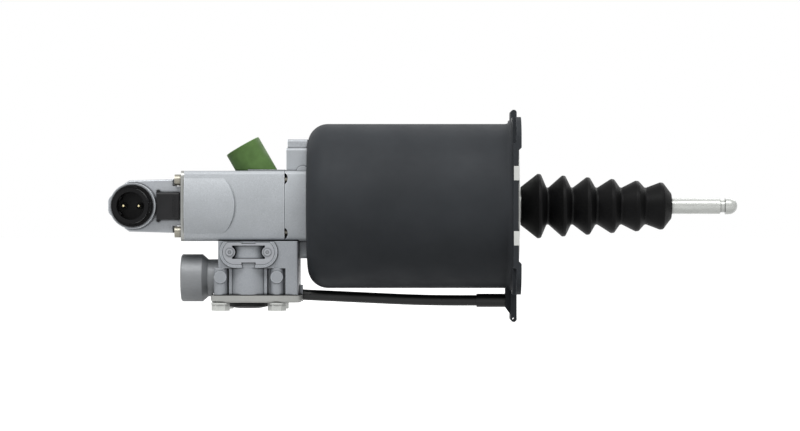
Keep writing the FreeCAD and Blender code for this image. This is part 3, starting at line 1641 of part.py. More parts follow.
def upright_spring(name, radius, wire, low, high, turns):
    """Coil spring on the valve's upright axis, made at the origin and moved there."""
    piece = Piece(name)
    start = wire + s.fit_gap
    height = high - low - start * 2
    piece.coil("XZ_Plane", (radius, start), wire, "V_Axis", height / turns, height)
    bind_place(piece.body, (-s.valve_axis, 0, low))
    return piece.body


def control_spring():
    low = -s.control_bore_floor
    high = -s.control_piston_top - s.control_piston_length
    return upright_spring("control_spring", s.control_spring_radius, s.small_wire_radius,
                          low, high, s.control_spring_turns)


def inlet_disc_top():
    return -s.chamber_top - s.inlet_pad_gap - s.inlet_pad_thickness


def inlet_valve():
    piece = Piece("inlet_valve")
    axis = (-s.valve_axis, 0)
    top = inlet_disc_top()
    bottom = top - s.inlet_disc_thickness
    piece.rod("Z", axis, bottom, top, s.inlet_disc_radius)
    piece.rod("Z", axis, -s.inlet_stem_end, bottom + s.fit_gap, s.inlet_stem_radius)
    piece.bore("Z", axis, -s.inlet_stem_end - 1, bottom, s.inlet_stem_bore)
    return piece.body


def inlet_valve_pad():
    piece = Piece("inlet_valve_pad")
    axis = (-s.valve_axis, 0)
    low = inlet_disc_top()
    piece.rod("Z", axis, low, low + s.inlet_pad_thickness, s.inlet_disc_radius)
    return piece.body


def retainer_top():
    return -s.valve_floor + s.retainer_thickness


def inlet_spring():
    high = inlet_disc_top() - s.inlet_disc_thickness
    return upright_spring("inlet_spring", s.inlet_spring_radius, s.small_wire_radius,
                          retainer_top(), high, s.inlet_spring_turns)


def valve_retainer():
    piece = Piece("valve_retainer")
    axis = (-s.valve_axis, 0)
    piece.rod("Z", axis, -s.valve_floor, retainer_top(), s.chamber_radius - s.fit_gap)
    piece.bore("Z", axis, -s.valve_floor - 1, retainer_top() + 1, s.inlet_stem_radius + s.fit_gap)
    return piece.body


def base_outline(piece, inset, low, high):
    """Plate under the valve, open where the casting's pipe lug comes through."""
    deep = s.base_half_depth - inset
    left, right = inset - s.base_left, -s.base_right - inset
    piece.block((left, -deep, low), (right, deep, high))
    piece.round(s.base_corner, along_axis_at("Z", (left, deep), (right, deep)))


def along_axis_at(axis, *corners):
    picks = [along_axis(axis, (-x if x.number < 0 else x, y)) for x, y in corners]
    def pick(edge):
        return any(test(edge) for test in picks)
    return pick


def cut_base_openings(piece, low, high):
    half = s.lug_block_half + s.plate_gap
    piece.block((-s.lug_block_start - s.plate_gap, -half, low - 1), (-s.base_right + 1, half, high + 1),
                cut=True)
    piece.bore("Z", (-s.breather_axis, 0), low - 1, high + 1, s.exhaust_radius)
    for centre in column_centres():
        piece.bore("Z", centre, low - 1, high + 1, s.base_bolt_radius + s.fit_gap * 4)


def base_gasket():
    piece = Piece("base_gasket")
    base_outline(piece, s.gasket_inset, base_top, -s.valve_floor)
    cut_base_openings(piece, base_top, -s.valve_floor)
    return piece.body


def base_plate():
    piece = Piece("base_plate")
    base_outline(piece, as_size(0), base_floor, base_top)
    piece.round(s.base_edge, in_plane("Z", base_floor))
    cut_base_openings(piece, base_floor, base_top)
    return piece.body


def base_washers():
    pieces = []
    for number, centre in enumerate(column_centres(), start=1):
        piece = Piece(f"base_washer_{number}")
        low = base_floor - s.washer_thickness
        piece.rod("Z", centre, low, base_floor, s.washer_radius)
        piece.bore("Z", centre, low - 1, base_floor + 1, s.base_bolt_radius + s.fit_gap * 4)
        pieces.append(piece)
    return group("base_washers", pieces)


def base_bolts():
    pieces = []
    for number, centre in enumerate(column_centres(), start=1):
        piece = Piece(f"base_bolt_{number}")
        seat = base_floor - s.washer_thickness
        piece.rod("Z", centre, seat, seat + s.base_bolt_length, s.base_bolt_radius)
        piece.hexagon("Z", centre, seat - s.base_bolt_head, seat, s.base_bolt_across)
        pieces.append(piece)
    return group("base_bolts", pieces)


def exhaust_breather():
    """Rubber flap under the exhaust, turned about its own upright axis and moved there."""
    piece = Piece("exhaust_breather")
    top = -s.breather_lift
    rim = top - s.breather_thickness + s.breather_dome
    bottom = top - s.breather_thickness
    stub = s.exhaust_radius - s.fit_gap
    piece.turn([
        (0, bottom),
        (s.breather_radius * 0.6, bottom),
        (s.breather_radius, rim),
        (s.breather_radius, top),
        (s.breather_neck_radius, top),
        (s.breather_neck_radius, 0),
        (stub, 0),
        (stub, s.breather_plug_length),
        (0, s.breather_plug_length),
    ], axis="V_Axis")
    bind_place(piece.body, (-s.breather_axis, 0, base_floor))
    return piece.body


def inlet_port():
    """Threaded connection for the compressed air line, turned about X and moved to its height."""
    piece = Piece("inlet_port")
    front = -s.inlet_front
    edge = s.inlet_edge
    spigot = s.inlet_spigot_length - s.valve_left
    bore_end = front + s.inlet_bore_depth
    piece.turn([
        (front, s.inlet_bore_radius),
        (front, s.inlet_radius - edge),
        (front + edge, s.inlet_radius),
        (-s.inlet_shoulder, s.inlet_radius),
        (-s.inlet_taper_end, s.inlet_neck_radius),
        (-s.valve_left, s.inlet_neck_radius),
        (-s.valve_left, s.inlet_spigot_radius),
        (spigot, s.inlet_spigot_radius),
        (spigot, s.inlet_channel_radius),
        (bore_end, s.inlet_channel_radius),
        (bore_end, s.inlet_bore_radius),
    ])
    clear_of_base = -s.base_left - s.plate_gap
    piece.block((clear_of_base, -s.inlet_radius, -s.inlet_radius),
                (-s.valve_left, s.inlet_radius, -s.inlet_neck_flat), cut=True)
    bind_place(piece.body, (0, 0, -s.inlet_height))
    return piece.body


def breather_pipe():
    """Pipe from the valve's lug to the bottom ear: two straight runs and a wide bend."""
    piece = Piece("breather_pipe")
    start = (-s.lug_block_end - s.pipe_seat, -s.pipe_height)
    end = (s.sleeve_insertion - s.pocket_depth - s.pipe_insertion, -s.pipe_end_height)
    path = piece.new_sketch("XZ_Plane")
    bend = -s.pipe_bend_start
    drop = s.pipe_end_height.number - s.pipe_height.number
    slope = drop / (-40 - start[0].number)
    turn = math.atan(slope)
    radius = s.pipe_bend_radius.number
    first = Vector(bend.number, start[1].number - slope * (bend.number - start[0].number), 0)
    centre = first + Vector(math.sin(turn), math.cos(turn), 0) * radius
    last = Vector(centre.x, centre.y - radius, 0)
    path.addGeometry(Part.LineSegment(Vector(start[0].number, start[1].number, 0), first), False)
    low, high = -math.pi / 2 - turn, -math.pi / 2
    arc = Part.ArcOfCircle(Part.Circle(centre, Vector(0, 0, 1), radius), low, high)
    path.addGeometry(arc, False)
    path.addGeometry(Part.LineSegment(last, Vector(end[0].number, end[1].number, 0)), False)
    path.addConstraint(Sketcher.Constraint("Tangent", 0, 2, 1, 1))
    path.addConstraint(Sketcher.Constraint("Tangent", 1, 2, 2, 1))
    hold_point(path, 0, 1, start)
    hold_point(path, 2, 2, end)
    path.addConstraint(Sketcher.Constraint("Horizontal", 2))
    item = path.addConstraint(Sketcher.Constraint("Radius", 1, radius))
    bind(path, f"Constraints[{item}]", s.pipe_bend_radius)
    item = path.addConstraint(Sketcher.Constraint("DistanceX", -1, 1, 1, 1, bend.number))
    bind(path, f"Constraints[{item}]", bend)
    ring = piece.new_sketch("YZ_Plane", start[0])
    ring.addGeometry(Part.Circle(Vector(0, start[1].number, 0), Vector(0, 0, 1), 1), False)
    hold_point(ring, 0, 3, (as_size(0), start[1]))
    item = ring.addConstraint(Sketcher.Constraint("Radius", 0, s.pipe_radius.number))
    bind(ring, f"Constraints[{item}]", s.pipe_radius)
    pipe = piece.feature("AdditivePipe", "run")
    pipe.Profile = ring
    pipe.Spine = (path, ["Edge1", "Edge2", "Edge3"])
    return piece.body


def pipe_sleeve():
    piece = Piece("pipe_sleeve")
    centre = (0, -s.pipe_end_height)
    low = -s.sleeve_start
    high = s.sleeve_insertion - s.pocket_depth
    piece.rod("X", centre, low, high, s.sleeve_radius)
    piece.bore("X", centre, low - 1, high + 1, s.pipe_radius + s.fit_gap)
    return piece.body


BUILDERS = (
    servo_housing, end_cover, rod_guide_bush, boot, push_rod, air_piston, rod_nut, hydraulic_plunger,
    travel_magnet, preload_spring, adapter_casting, adapter_seal, back_screws, plunger_seal,
    plunger_bush, hydraulic_body, transport_plug, joint_seal, body_screws, bleed_screw, bleed_cap,
    sensor_plate, sensor_housing, sensor_probe, connector_socket, connector_pins, connector_clip,
    valve_body, oval_cover, oval_cover_screws, valve_screws, control_piston, control_piston_seals,
    control_spring, inlet_valve, inlet_valve_pad, inlet_spring, valve_retainer, base_gasket,
    base_plate, base_washers, base_bolts, exhaust_breather, inlet_port, breather_pipe, pipe_sleeve,
)


def main():
    parts = [build() for build in BUILDERS]
    seal_groove, ring_groove_place = piston_grooves()
    parts.append(groove_ring("piston_seal", seal_groove))
    parts.append(groove_ring("piston_guide_ring", ring_groove_place))
    doc.recompute()
    for item in doc.Objects:
        if "Invalid" in item.State or "Error" in item.State:
            raise RuntimeError(f"{item.Label} failed: {item.State}")
    failed = [part.Label for part in parts if part.Shape.isNull() or not part.Shape.isValid()]
    if failed:
        raise RuntimeError(f"no valid shape: {failed}")
    os.makedirs("parts", exist_ok=True)
    for part in parts:
        part.Shape.exportStep(os.path.join("parts", f"{part.Label}.step"))
        box = part.Shape.BoundBox
        print(f"{part.Label}: {len(part.Shape.Solids)} solids, {part.Shape.Volume:.1f} mm3, "
              f"X {box.XMin:.1f} to {box.XMax:.1f}, Z {box.ZMin:.1f} to {box.ZMax:.1f}")


main()
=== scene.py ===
"""Clutch servo: materials, surface detail, rubber boot, springs, floor, lights and camera."""

import json
import math

import bmesh
import bpy
from mathutils import Matrix, Vector


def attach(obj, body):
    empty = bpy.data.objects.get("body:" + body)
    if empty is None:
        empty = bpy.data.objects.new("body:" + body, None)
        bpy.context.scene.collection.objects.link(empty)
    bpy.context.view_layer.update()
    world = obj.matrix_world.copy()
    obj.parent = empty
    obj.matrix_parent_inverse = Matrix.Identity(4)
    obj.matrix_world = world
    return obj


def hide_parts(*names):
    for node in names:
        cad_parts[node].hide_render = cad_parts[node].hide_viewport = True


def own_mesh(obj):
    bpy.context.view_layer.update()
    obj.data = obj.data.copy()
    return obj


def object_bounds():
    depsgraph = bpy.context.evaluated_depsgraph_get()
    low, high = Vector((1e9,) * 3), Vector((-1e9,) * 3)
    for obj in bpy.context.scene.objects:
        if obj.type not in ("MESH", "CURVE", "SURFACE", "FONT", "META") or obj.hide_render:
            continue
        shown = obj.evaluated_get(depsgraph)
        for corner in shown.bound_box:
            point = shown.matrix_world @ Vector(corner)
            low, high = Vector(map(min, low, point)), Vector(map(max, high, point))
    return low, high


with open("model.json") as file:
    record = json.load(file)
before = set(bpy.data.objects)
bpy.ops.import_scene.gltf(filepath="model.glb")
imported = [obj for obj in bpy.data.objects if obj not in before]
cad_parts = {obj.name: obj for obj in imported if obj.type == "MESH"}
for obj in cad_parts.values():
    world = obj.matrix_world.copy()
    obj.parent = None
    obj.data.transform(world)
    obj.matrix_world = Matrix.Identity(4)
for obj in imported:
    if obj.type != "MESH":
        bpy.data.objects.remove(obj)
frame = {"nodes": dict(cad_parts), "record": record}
cad_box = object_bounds()

MM = 0.001

# Boot, with places and radii repeated from the CAD source, in millimetres
BOOT_START = 1.8
BOOT_START_RADIUS = 12.1
BOOT_FIRST_CREST = 13.4
BOOT_PITCH = 15.5
BOOT_CREST_RADIUS = 20.5
BOOT_CREST_STEP = 1.1
BOOT_VALLEY_AFTER_CREST = 5.4
BOOT_VALLEY_RADIUS = 11.7
BOOT_WALL = 1.8
BOOT_END = 97.1
BOOT_END_RADIUS = 9.0
BOOT_FOLDS = 6
BOOT_SEAT_RADIUS = 9.65
BOOT_GRIP_RADIUS = 5.05
BOOT_GRIP_LENGTH = 4.6
NECK_END = 7.0
ROD_STROKE = 60.0

# Flats on the boot's crests and valleys: start before the place, end after it, and fall between them
CREST_FLAT = (0.9, 1.1, 0.2)
VALLEY_FLAT = (0.7, 0.5, 0.2)
CREST_ROUNDING = [1.4, 1.3]
VALLEY_ROUNDING = [1.6, 1.2]
END_ROUNDING = [0.8, 0.5]
END_BEVEL_LENGTH = 0.7
END_BEVEL_DEPTH = 0.8
GRIP_BEVEL = 0.3
BOOT_STEPS = 128
ARC_STEPS = 6

# Springs: name, joint, axis, low and high end, coil radius, wire radius, turns and stroke
SPRINGS = (
    ("preload_spring", "rod_slide", "X", -129.0, -20.0, 16.5, 1.8, 8, ROD_STROKE),
    ("control_spring", "control_slide", "Z", -41.0, -34.0, 5.6, 0.45, 3, 2.5),
    ("inlet_spring", "inlet_slide", "Z", -52.5, -46.3, 4.8, 0.45, 3, 1.5),
)
SPRING_GAP = 0.05
VALVE_X = -169.9
COIL_STEPS = 40
WIRE_SIDES = 12

# Thread in the air inlet; its profile gives the share of a pitch and the rise from the bore
PORT_FRONT = -213.0
PORT_HEIGHT = -45.5
PORT_BORE = 10.25
THREAD_PITCH = 1.5
THREAD_TURNS = 8
THREAD_DEPTH = 0.85
THREAD_START = 0.6
THREAD_FILL = 0.92
THREAD_STEPS = 72
THREAD_FADE_STEPS = THREAD_STEPS // 3
THREAD_PROFILE = ((0.0, 0.1), (0.35, -THREAD_DEPTH), (0.65, -THREAD_DEPTH), (1.0, 0.1))

# Connector blocks: name, middle angles, half angle, inner and outer radius, front, back, bevel
CONNECTOR_X = -242.0
TUBE_RADIUS = 11.1
CAVITY_RADIUS = 8.7
CONNECTOR_BLOCKS = (
    ("bayonet_lug", (-15, 78, 168, 258), 7, TUBE_RADIUS - 0.2, TUBE_RADIUS + 1.2, -35.6, -33.0, 0.35),
    ("key_rib", (145, -145, 20), 9, CAVITY_RADIUS - 1.1, CAVITY_RADIUS + 0.2, -34.5, -24.1, 0.3),
)
ARC_BLOCK_STEPS = 8
BEVEL_SEGMENTS = 2
SHARP_ANGLE = math.radians(40)

# Collars round the connector's pins: points as (radius, y)
PIN_SPACING = 4.8
PIN_COLLAR = ((1.1, -24.0), (1.1, -25.2), (1.3, -25.5), (1.7, -25.5), (2.0, -25.2), (2.0, -24.0))
PIN_COLLAR_STEPS = 32

# Grip ribs of the connector's clip: points as (x, y) from the rib's middle on the clip's front
CLIP_RIGHT = -213.4
CLIP_FRONT = -20.0
CLIP_HALF_HEIGHT = 8.6
CLIP_RIBS = 4
CLIP_RIB_FIRST = 1.1
CLIP_RIB_PITCH = 0.9
CLIP_RIB_END_GAP = 1.9
CLIP_RIB_BEVEL = 0.08
CLIP_RIB_PROFILE = ((-0.22, 0.1), (-0.16, -0.25), (0.16, -0.25), (0.22, 0.1))

# Stage, in metres and watts; each lamp has a name, a place, a size and a power
FLOOR_REACH = 6.0
FLOOR_DROP = 0.0005
FLOOR_GREY = (0.45, 0.45, 0.45)
FLOOR_GLOW = 0.86
WORLD_LIGHT = 0.32
LAMP_AIM = (-0.05, 0, 0)
LAMPS = (
    ("top_light", (-0.1, -0.7, 1.1), (1.6, 0.6), 17.0),
    ("front_light", (-0.5, -1.3, 1.3), (0.8, 0.5), 5.0),
    ("rim_light", (0.6, 0.9, 0.9), (0.8, 0.8), 6.0),
)
CAMERA_PLACE = (-0.0747, -1.712, -0.006)
CAMERA_LENS = 121.5
CAMERA_SENSOR = 36.0
CAMERA_CLIP_START = 0.05

# Sockets of the colour mix node
MIX_FACTOR, MIX_FIRST, MIX_SECOND, MIX_RESULT = 0, 6, 7, 2


# Materials

class Nodes:
    """Short way to build a material's node tree."""

    def __init__(self, name):
        self.material = bpy.data.materials.new(name)
        self.material.use_nodes = True
        self.tree = self.material.node_tree
        self.tree.nodes.clear()
        self.output = self.add("ShaderNodeOutputMaterial")
        self.place = self.add("ShaderNodeTexCoord").outputs["Object"]

    def add(self, kind, **settings):
        node = self.tree.nodes.new(kind)
        for key, value in settings.items():
            setattr(node, key, value)
        return node

    def link(self, source, target):
        self.tree.links.new(source, target)

    def noise(self, scale, detail=3.0, roughness=0.55, stretch=None):
        """Noise in the piece's own frame; the scale counts features in a metre."""
        source = self.place
        if stretch:
            mapping = self.add("ShaderNodeMapping")
            mapping.inputs["Scale"].default_value = stretch
            self.link(self.place, mapping.inputs["Vector"])
            source = mapping.outputs["Vector"]
        node = self.add("ShaderNodeTexNoise")
        node.inputs["Scale"].default_value = scale
        node.inputs["Detail"].default_value = detail
        node.inputs["Roughness"].default_value = roughness
        self.link(source, node.inputs["Vector"])
        return node.outputs["Fac"]

    def levels(self, value, low, high, out_low, out_high):
        """Map low to high onto out_low to out_high, and hold the ends."""
        node = self.add("ShaderNodeMapRange")
        for key, number in (("From Min", low), ("From Max", high),
                            ("To Min", out_low), ("To Max", out_high)):
            node.inputs[key].default_value = number
        self.link(value, node.inputs["Value"])
        return node.outputs["Result"]

    def cloud(self, scale, low=0.3, high=0.7):
        """Large soft patches from 0 to 1."""
        return self.levels(self.noise(scale, detail=4.0), low, high, 0.0, 1.0)

    def around(self, value, middle, below, above):
        """Spread a noise from just below the middle to just above it."""
        return self.levels(value, 0.3, 0.7, middle - below, middle + above)

    def blend(self, factor, first, second):
        node = self.add("ShaderNodeMix", data_type="RGBA")
        self.link(factor, node.inputs[MIX_FACTOR])
        for index, colour in ((MIX_FIRST, first), (MIX_SECOND, second)):
            self.colour(colour, node.inputs[index])
        return node.outputs[MIX_RESULT]

    def colour(self, value, target):
        """Give a colour socket a plain colour or a link."""
        if isinstance(value, tuple):
            target.default_value = (*value, 1.0)
        else:
            self.link(value, target)

    def bump(self, height, strength, distance, normal=None):
        node = self.add("ShaderNodeBump")
        node.inputs["Strength"].default_value = strength
        node.inputs["Distance"].default_value = distance
        self.link(height, node.inputs["Height"])
        if normal is not None:
            self.link(normal, node.inputs["Normal"])
        return node.outputs["Normal"]

    def hollows(self, distance, low=0.45, high=0.95):
        """1 in corners and narrow gaps, 0 in the open: the mask for painted shade."""
        node = self.add("ShaderNodeAmbientOcclusion")
        node.samples = 8
        node.inputs["Distance"].default_value = distance
        return self.levels(node.outputs["AO"], low, high, 1.0, 0.0)

    def edges(self, radius):
        """1 on edges, where the bevelled normal leaves the face's own: the mask for painted edge
        highlights.
        """
        node = self.add("ShaderNodeBevel")
        node.samples = 4
        node.inputs["Radius"].default_value = radius
        flat = self.add("ShaderNodeNewGeometry")
        product = self.add("ShaderNodeVectorMath", operation="DOT_PRODUCT")
        self.link(node.outputs["Normal"], product.inputs[0])
        self.link(flat.outputs["Normal"], product.inputs[1])
        return self.levels(product.outputs["Value"], 0.75, 0.98, 1.0, 0.0)

    def shader(self, colour, roughness, metallic=0.0, normal=None, specular=0.5):
        node = self.add("ShaderNodeBsdfPrincipled")
        self.colour(colour, node.inputs["Base Color"])
        self.link(roughness, node.inputs["Roughness"])
        node.inputs["Metallic"].default_value = metallic
        node.inputs["Specular IOR Level"].default_value = specular
        if normal is not None:
            self.link(normal, node.inputs["Normal"])
        self.link(node.outputs["BSDF"], self.output.inputs["Surface"])
        return node


def shade(colour, factor):
    return tuple(min(channel * factor, 1.0) for channel in colour)


def painted(name, colour, roughness):
    """Satin paint: fine orange peel, faint dust and a thin painted highlight at the edges."""
    n = Nodes(name)
    tint = n.blend(n.cloud(18.0, 0.35, 0.65), shade(colour, 0.88), shade(colour, 1.14))
    # Painted highlight: the edges are lightened to stand for light caught on them.
    highlit_edges = n.blend(n.edges(0.0006), tint, shade(colour, 2.1))
    peel = n.bump(n.noise(1500.0, detail=2.0), strength=0.10, distance=0.0002)
    rough = n.around(n.noise(60.0, detail=5.0), roughness, 0.05, 0.07)
    n.shader(highlit_edges, rough, normal=peel, specular=0.12)
    return n.material


def cast_metal(name, colour, roughness, grain, metallic):
    """Sand or die cast aluminium: grainy skin and darker pits, with a painted highlight on the edges and
    painted shade in corners and gaps.
    """
    n = Nodes(name)
    base = n.blend(n.cloud(45.0), shade(colour, 0.92), shade(colour, 1.08))
    sand = n.noise(2600.0 * grain, detail=3.0, roughness=0.7)
    speck = n.levels(sand, 0.34, 0.62, 0.0, 1.0)
    grainy = n.blend(speck, shade(colour, 0.72), base)
    # Painted highlight: the edges are lightened to stand for light caught on them.
    edge_highlight = n.blend(n.edges(0.0006), grainy, shade(colour, 1.9))
    # Painted shade: corners and narrow gaps are darkened nearly to black.
    painted_shade = n.blend(n.hollows(0.0013, 0.58, 0.96), edge_highlight, shade(colour, 0.12))
    fine = n.bump(sand, strength=0.28, distance=0.00025)
    rolling = n.bump(n.noise(420.0), strength=0.14, distance=0.0004, normal=fine)
    rough = n.around(n.noise(700.0), roughness, 0.08, 0.08)
    n.shader(painted_shade, rough, metallic, rolling)
    return n.material


def machined(name, colour, roughness, metallic=0.85, stretch=(1.0, 40.0, 40.0)):
    """Turned, drawn or plated steel: fine lines one way, a soft tint of age, a painted highlight on the
    edges and painted shade in corners and gaps.
    """
    n = Nodes(name)
    lines = n.noise(300.0, detail=4.0, roughness=0.6, stretch=stretch)
    base = n.blend(n.cloud(70.0), shade(colour, 0.9), shade(colour, 1.07))
    lined = n.blend(n.levels(lines, 0.35, 0.65, 0.0, 0.35), base, shade(colour, 0.75))
    # Painted highlight: the edges are lightened to stand for light caught on them.
    edge = n.blend(n.edges(0.0003), lined, shade(colour, 1.25))
    # Painted shade: corners and narrow gaps are darkened nearly to black.
    painted_shade = n.blend(n.hollows(0.0015), edge, shade(colour, 0.15))
    fine = n.bump(lines, strength=0.08, distance=0.0001)
    rough = n.around(lines, roughness, 0.05, 0.08)
    n.shader(painted_shade, rough, metallic, fine)
    return n.material


def moulded(name, colour, roughness, grain=1.0, specular=0.25):
    """Moulded plastic or rubber: fine matt texture, a little bloom, a painted highlight on the edges and
    painted shade in corners and gaps.
    """
    n = Nodes(name)
    base = n.blend(n.cloud(90.0, 0.35), shade(colour, 0.85), shade(colour, 1.25))
    # Painted highlight: the edges are lightened to stand for light caught on them.
    edge = n.blend(n.edges(0.0004), base, shade(colour, 1.7))
    # Painted shade: corners and narrow gaps are darkened.
    painted_shade = n.blend(n.hollows(0.0015), edge, shade(colour, 0.4))
    fine = n.bump(n.noise(2400.0 * grain, detail=2.0), strength=0.14, distance=0.0002)
    rough = n.around(n.noise(150.0, detail=4.0), roughness, 0.06, 0.08)
    n.shader(painted_shade, rough, normal=fine, specular=specular)
    return n.material


# Material slots: kind of surface, colour, roughness and what else its function takes
LOOKS = {
    "housing_paint": (painted, (0.03, 0.033, 0.037), 0.6, {}),
    "cover_zinc": (machined, (0.55, 0.56, 0.54), 0.36, {"metallic": 0.6, "stretch": (20.0, 4.0, 4.0)}),
    "rod_steel": (machined, (0.56, 0.575, 0.55), 0.2, {"metallic": 0.25, "stretch": (0.3, 1.5, 1.5)}),
    "boot_rubber": (moulded, (0.0018, 0.0018, 0.002), 0.5, {"grain": 0.6, "specular": 0.1}),
    "seal_rubber": (moulded, (0.02, 0.02, 0.021), 0.5, {}),
    "cast_aluminium": (cast_metal, (0.45, 0.475, 0.5), 0.5, {"grain": 1.0, "metallic": 0.12}),
    "valve_aluminium": (cast_metal, (0.35, 0.37, 0.395), 0.42, {"grain": 1.4, "metallic": 0.3}),
    "machined_aluminium": (machined, (0.62, 0.63, 0.65), 0.35, {}),
    "bearing_plastic": (moulded, (0.26, 0.25, 0.23), 0.5, {}),
    "polished_steel": (machined, (0.62, 0.63, 0.64), 0.16, {"metallic": 0.95}),
    "magnet": (machined, (0.2, 0.2, 0.21), 0.4, {}),
    "spring_steel": (machined, (0.34, 0.34, 0.36), 0.35, {}),
    "screw_steel": (machined, (0.31, 0.295, 0.245), 0.36, {"metallic": 0.6, "stretch": (6.0, 6.0, 6.0)}),
    "bolt_steel": (machined, (0.52, 0.53, 0.51), 0.3, {"metallic": 0.6, "stretch": (6.0, 6.0, 6.0)}),
    "plug_green": (moulded, (0.08, 0.15, 0.045), 0.5, {"grain": 0.8, "specular": 0.15}),
    "cap_rubber": (moulded, (0.02, 0.02, 0.02), 0.55, {}),
    "plate_zinc": (machined, (0.36, 0.365, 0.35), 0.36, {"metallic": 0.6, "stretch": (4.0, 30.0, 4.0)}),
    "sensor_cast": (cast_metal, (0.43, 0.45, 0.475), 0.4, {"grain": 1.6, "metallic": 0.5}),
    "connector_plastic": (moulded, (0.0035, 0.0035, 0.004), 0.38, {"specular": 0.15}),
    "clip_plastic": (moulded, (0.011, 0.011, 0.012), 0.45, {}),
    "pin_metal": (machined, (0.75, 0.66, 0.4), 0.28, {}),
    "cover_steel": (machined, (0.37, 0.385, 0.41), 0.4, {"metallic": 0.4}),
    "port_steel": (machined, (0.24, 0.25, 0.26), 0.5, {"metallic": 0.25, "stretch": (1.0, 10.0, 10.0)}),
    "valve_plastic": (moulded, (0.3, 0.3, 0.3), 0.45, {}),
    "breather_rubber": (moulded, (0.02, 0.02, 0.02), 0.55, {}),
    "pipe_plastic": (moulded, (0.009, 0.0095, 0.0095), 0.33, {"specular": 0.35}),
}
MATERIALS = {name: kind(name, colour, roughness, **more)
             for name, (kind, colour, roughness, more) in LOOKS.items()}


def dress_nodes():
    """Put each CAD node's material on its slots."""
    slots = {item["node"]: item["material_slot"] for item in frame["record"]["subparts"]}
    for name, piece in frame["nodes"].items():
        material = MATERIALS[slots[name]]
        if not piece.data.materials:
            piece.data.materials.append(material)
        for index in range(len(piece.data.materials)):
            piece.data.materials[index] = material


# Mesh helpers

def new_piece(name, mesh, body, slot):
    piece = bpy.data.objects.new(name, mesh)
    bpy.context.scene.collection.objects.link(piece)
    mesh.materials.append(MATERIALS[slot])
    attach(piece, body)
    return piece


def lathe(name, profile, steps):
    """Closed ring of faces from (x, radius) points in millimetres, turned about X."""
    mesh = bpy.data.meshes.new(name)
    vertices, faces = [], []
    count = len(profile)
    for step in range(steps):
        angle = 2 * math.pi * step / steps
        for x, radius in profile:
            vertices.append((x * MM, radius * math.sin(angle) * MM, radius * math.cos(angle) * MM))
    for step in range(steps):
        first, second = step * count, (step + 1) % steps * count
        for index in range(count):
            following = (index + 1) % count
            faces.append((first + index, second + index, second + following, first + following))
    mesh.from_pydata(vertices, [], faces)
    mesh.validate()
    mesh.update()
    for face in mesh.polygons:
        face.use_smooth = True
    return mesh


def rounded(points, radii):
    """Polyline with each inner corner replaced by an arc of its radius."""
    result = [points[0]]
    for before, corner, after, radius in zip(points, points[1:], points[2:], radii):
        here = Vector(corner)
        back = Vector(before) - here
        ahead = Vector(after) - here
        half = back.angle(ahead) / 2
        reach = min(radius / math.tan(half), back.length * 0.45, ahead.length * 0.45)
        size = reach * math.tan(half)
        start = here + back.normalized() * reach
        stop = here + ahead.normalized() * reach
        centre = here + (back.normalized() + ahead.normalized()).normalized() * size / math.sin(half)
        first, last = start - centre, stop - centre
        turn = first.angle_signed(last)
        for step in range(ARC_STEPS + 1):
            spoke = first.copy()
            spoke.rotate(Matrix.Rotation(-turn * step / ARC_STEPS, 2))
            result.append(tuple(centre + spoke))
    result.append(points[-1])
    return result


def swept(name, rings, closed=False):
    """Skin over a row of equal rings of points in millimetres, closed or with its ends capped."""
    mesh = bpy.data.meshes.new(name)
    count = len(rings[0])
    vertices = [tuple(value * MM for value in point) for ring in rings for point in ring]
    faces = []
    last = len(rings) if closed else len(rings) - 1
    for row in range(last):
        first, second = row * count, (row + 1) % len(rings) * count
        for index in range(count):
            following = (index + 1) % count
            faces.append((first + index, first + following, second + following, second + index))
    if not closed:
        faces.append(tuple(reversed(range(count))))
        faces.append(tuple(range(len(vertices) - count, len(vertices))))
    mesh.from_pydata(vertices, [], faces)
    shell = bmesh.new()
    shell.from_mesh(mesh)
    bmesh.ops.recalc_face_normals(shell, faces=shell.faces)
    shell.to_mesh(mesh)
    shell.free()
    return mesh


def bevelled(mesh, size):
    shell = bmesh.new()
    shell.from_mesh(mesh)
    sharp = [edge for edge in shell.edges
             if len(edge.link_faces) == 2 and edge.calc_face_angle(0) > SHARP_ANGLE]
    bmesh.ops.bevel(shell, geom=sharp, offset=size * MM, segments=BEVEL_SEGMENTS, affect="EDGES",
                    clamp_overlap=True)
    shell.to_mesh(mesh)
    shell.free()
    return mesh


# Boot and springs

def boot_outside():
    """Outer line from the cover to the rod's grip, with the radii of its corners."""
    outer, radii = [(BOOT_START, BOOT_START_RADIUS)], []
    for index in range(BOOT_FOLDS):
        crest = BOOT_FIRST_CREST + BOOT_PITCH * index
        size = BOOT_CREST_RADIUS - BOOT_CREST_STEP * index
        before, after, fall = CREST_FLAT
        outer += [(crest - before, size), (crest + after, size - fall)]
        radii += CREST_ROUNDING
        if index < BOOT_FOLDS - 1:
            valley = crest + BOOT_VALLEY_AFTER_CREST
            before, after, fall = VALLEY_FLAT
            outer += [(valley - before, BOOT_VALLEY_RADIUS + fall), (valley + after, BOOT_VALLEY_RADIUS)]
            radii += VALLEY_ROUNDING
    outer += [(BOOT_END - END_BEVEL_LENGTH, BOOT_END_RADIUS),
              (BOOT_END, BOOT_END_RADIUS - END_BEVEL_DEPTH),
              (BOOT_END, BOOT_GRIP_RADIUS + GRIP_BEVEL)]
    radii += END_ROUNDING
    return outer, radii


